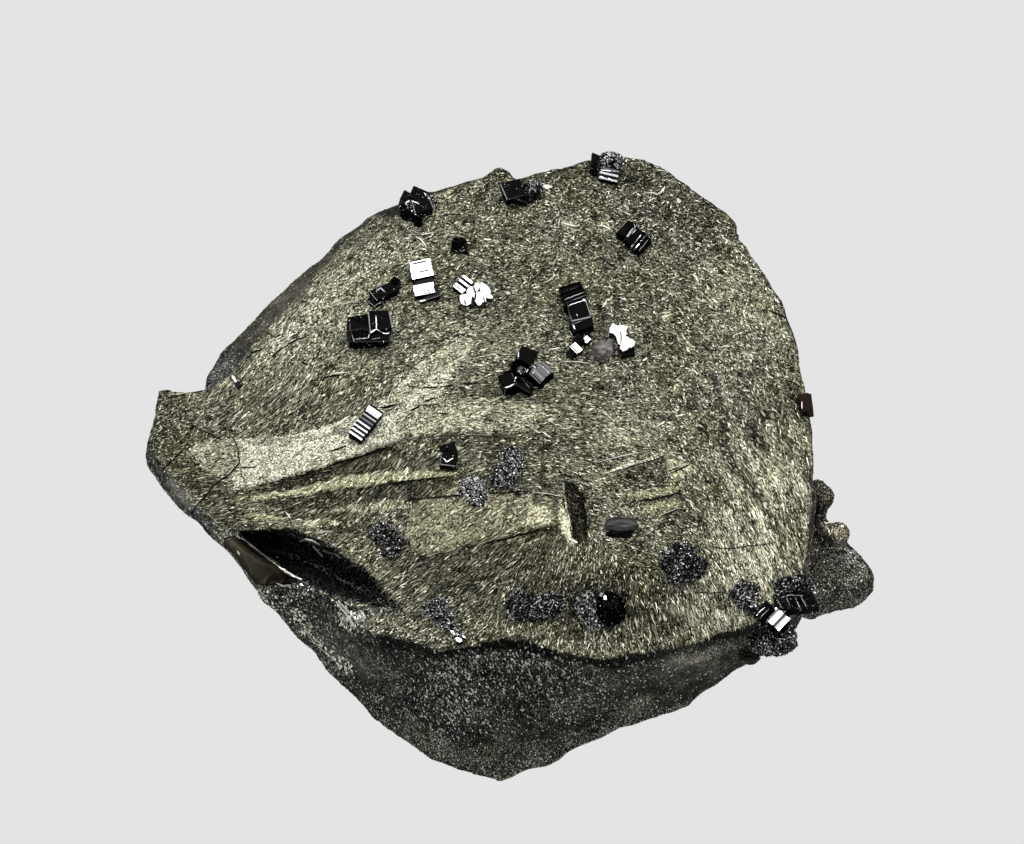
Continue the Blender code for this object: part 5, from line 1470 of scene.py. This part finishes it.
def restingPlace(spot, height, base):
    # Where a grain stands whose middle is seen at the spot
    drop = height / 2 * math.cos(math.radians(photoView["elevation"])) / photoView["millimetresPerPixel"]
    origin, ray = photoRay((spot[0], spot[1] + drop))
    if base is not None:
        return origin + ray * ((base * mm - origin.z) / ray.z)
    return hostTree.ray_cast(origin, ray)[0]


def finishPiece(bm, name, finish):
    # Makes a piece of the drawn faces that rides on the specimen
    bmesh.ops.recalc_face_normals(bm, faces=bm.faces)
    mesh = bpy.data.meshes.new(name)
    bm.to_mesh(mesh)
    bm.free()
    mesh.materials.append(finishes[finish])
    made = newObject(name, mesh)
    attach(made, "root")
    return made


def scatterCoat(name, mesh, light, density, size, seed):
    # Covers a crystal with tiny faces, lighter in some places than in others
    count = len(mesh.vertices)
    surface = newObject(name + "Surface", mesh.copy())
    points = [v.co / mm for v in mesh.vertices]
    setAttribute(surface.data, "grainCover", np.ones(count))
    setAttribute(surface.data, "light", light + noiseAt(points, 0.7, seed) * 0.45)
    setAttribute(surface.data, "grainAlong", np.tile((1.0, 0.0, 0.0), (count, 1)), "FLOAT_VECTOR")
    setAttribute(surface.data, "grainSpread", np.full(count, math.pi))
    coat = scatter(name + "Coat", surface, coatLayer, settleGrains(dict(
        Density=density, Length=size, Width=size * 0.8, Height=size * 0.8, Tilt=0.8, Unevenness=0.55,
        Seed=seed)))
    dropObject(surface)
    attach(coat, "root")


def buildCrystal(name, entry, seed):
    bm = bmesh.new()
    shadeLayer(bm)
    draw = random.Random(seed)
    for kind, spot, size, turn, *extra in entry["grains"]:
        options = dict(*extra)
        sheared = Matrix.Identity(4)
        sheared[0][1] = options.pop("shear", 0.0)
        place = Matrix.Translation(restingPlace(spot, size[2], entry.get("base")))
        place @= Matrix.Rotation(math.radians(turn), 4, "Z") @ sheared @ Matrix.Scale(mm, 4)
        makers[kind](bm, place, size, draw, **options)
    bm.normal_update()
    surface = BVHTree.FromBMesh(bm)
    # Lines painted over the crystals: highlights along edges and ridges, dark lines in grooves
    for line, width, shade in entry.get("highlightAndShadeLines", ()):
        raisedLine(bm, surface, line, width * lineRules["crystalLineWidening"], shade, lineRules["crystalLineLift"], draw)
    made = finishPiece(bm, name, entry["finish"])
    if "node" in entry:
        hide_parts(entry["node"])
    rules = crystalRules
    if "coat" in entry:
        scatterCoat(name, made.data, entry["coat"], rules["coatDensity"], rules["coatGrain"], seed)
    if "sparks" in entry:
        scatterCoat(name, made.data, entry["sparks"], rules["sparkDensity"], rules["sparkGrain"],
                    seed)


def drawFaceLines():
    for name, lines in faceLines.items():
        bm = bmesh.new()
        shadeLayer(bm)
        draw = random.Random(len(name))
        for line, width, shade in lines:
            raisedLine(bm, hostTree, line, width, shade * lineRules["faceShade"], lineRules["faceLift"], draw)
        finishPiece(bm, name, "lines")


finishes = {
    # These two are one ore, a shaded and a lit copy; their faces' shades paint glints and shade
    "black": crystalMaterial("shadedBournonite", (0.0015, 0.0015, 0.0014), (0.85, 0.86, 0.88), 0.12),
    "bright": crystalMaterial("litBournonite", (0.006, 0.006, 0.007), (0.95, 0.96, 0.97), 0.16),
    # Mirror flashes of crystal faces painted as a plain white
    "mirrorGlint": crystalMaterial("paintedMirrorGlint", (0.02, 0.02, 0.02), (0.95, 0.95, 0.94), 0.35, 0.0),
    "dusty": crystalMaterial("dustyBournonite", (0.004, 0.004, 0.004), (0.60, 0.61, 0.62), 0.40, 0.7),
    "brown": crystalMaterial("brownBournonite", (0.008, 0.005, 0.004), (0.90, 0.84, 0.78), 0.30, 0.7),
    "stain": crystalMaterial("yellowStain", (0.010, 0.006, 0.002), (0.62, 0.36, 0.08), 0.40, 0.3),
    "lines": crystalMaterial("edgeLines", (0.003, 0.003, 0.003), (0.92, 0.91, 0.80), 0.30, 0.8),
    "quartz": quartzMaterial(),
}
coatFinish = coatMaterial()
coatLayer = grainTree("crystalCoat", coatFinish)
hostTree = surfaceTree(host)
for seed, (name, entry) in enumerate(crystals.items(), 100):
    buildCrystal(name, entry, seed)
print("crystals built:", len(crystals))
drawFaceLines()
print("face lines drawn")


# Plain pale floor and soft studio light
studio = {
    "floorTone": 0.775, "floorSize": 3.0,
    "skyTone": 0.75,
    "boxes": {
        "overhead": dict(place=(0.0, 0.18, 0.50), aim=(0, 0, 0.01), size=(0.36, 0.30), radiance=4.0),
        "rightBack": dict(place=(0.42, 0.20, 0.36), aim=(0, 0, 0.01), size=(0.26, 0.30), radiance=6.0),
        "leftBack": dict(place=(-0.36, 0.22, 0.34), aim=(0, 0, 0.01), size=(0.26, 0.26), radiance=4.0),
    },
}


def buildStudio():
    world = bpy.data.worlds.new("studio")
    scene.world = world
    world.use_nodes = True
    background = world.node_tree.nodes["Background"]
    background.inputs["Color"].default_value = (1.0, 1.0, 1.0, 1.0)
    background.inputs["Strength"].default_value = studio["skyTone"]
    bm = bmesh.new()
    half = studio["floorSize"] / 2
    corners = ((-half, -half, 0), (half, -half, 0), (half, half, 0), (-half, half, 0))
    bm.faces.new([bm.verts.new(corner) for corner in corners])
    mesh = bpy.data.meshes.new("floor")
    bm.to_mesh(mesh)
    bm.free()
    floor = newObject("floor", mesh)
    material, tree, shader = newMaterial("floorCard")
    linkInto(tree, shader, colour=(0.0, 0.0, 0.0, 1.0), roughness=0.9)
    shader.inputs["Emission Color"].default_value = (1.0, 1.0, 1.0, 1.0)
    shader.inputs["Emission Strength"].default_value = studio["floorTone"]
    shader.inputs["Specular IOR Level"].default_value = 0.0
    mesh.materials.append(material)
    floor.visible_glossy = False
    floor.visible_diffuse = False
    for name, box in studio["boxes"].items():
        light = bpy.data.lights.new(name, "AREA")
        light.shape = "RECTANGLE"
        light.size, light.size_y = box["size"]
        light.energy = box["radiance"] * math.pi * box["size"][0] * box["size"][1]
        lamp = bpy.data.objects.new(name, light)
        place = Vector(box["place"])
        facing = (Vector(box["aim"]) - place).to_track_quat("-Z", "Y")
        lamp.matrix_world = Matrix.Translation(place) @ facing.to_matrix().to_4x4()
        scene.collection.objects.link(lamp)
    scene.view_settings.view_transform = "Standard"


buildStudio()

shown = [name for name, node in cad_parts.items() if not node.hide_render]
print("plain nodes still shown:", len(shown))
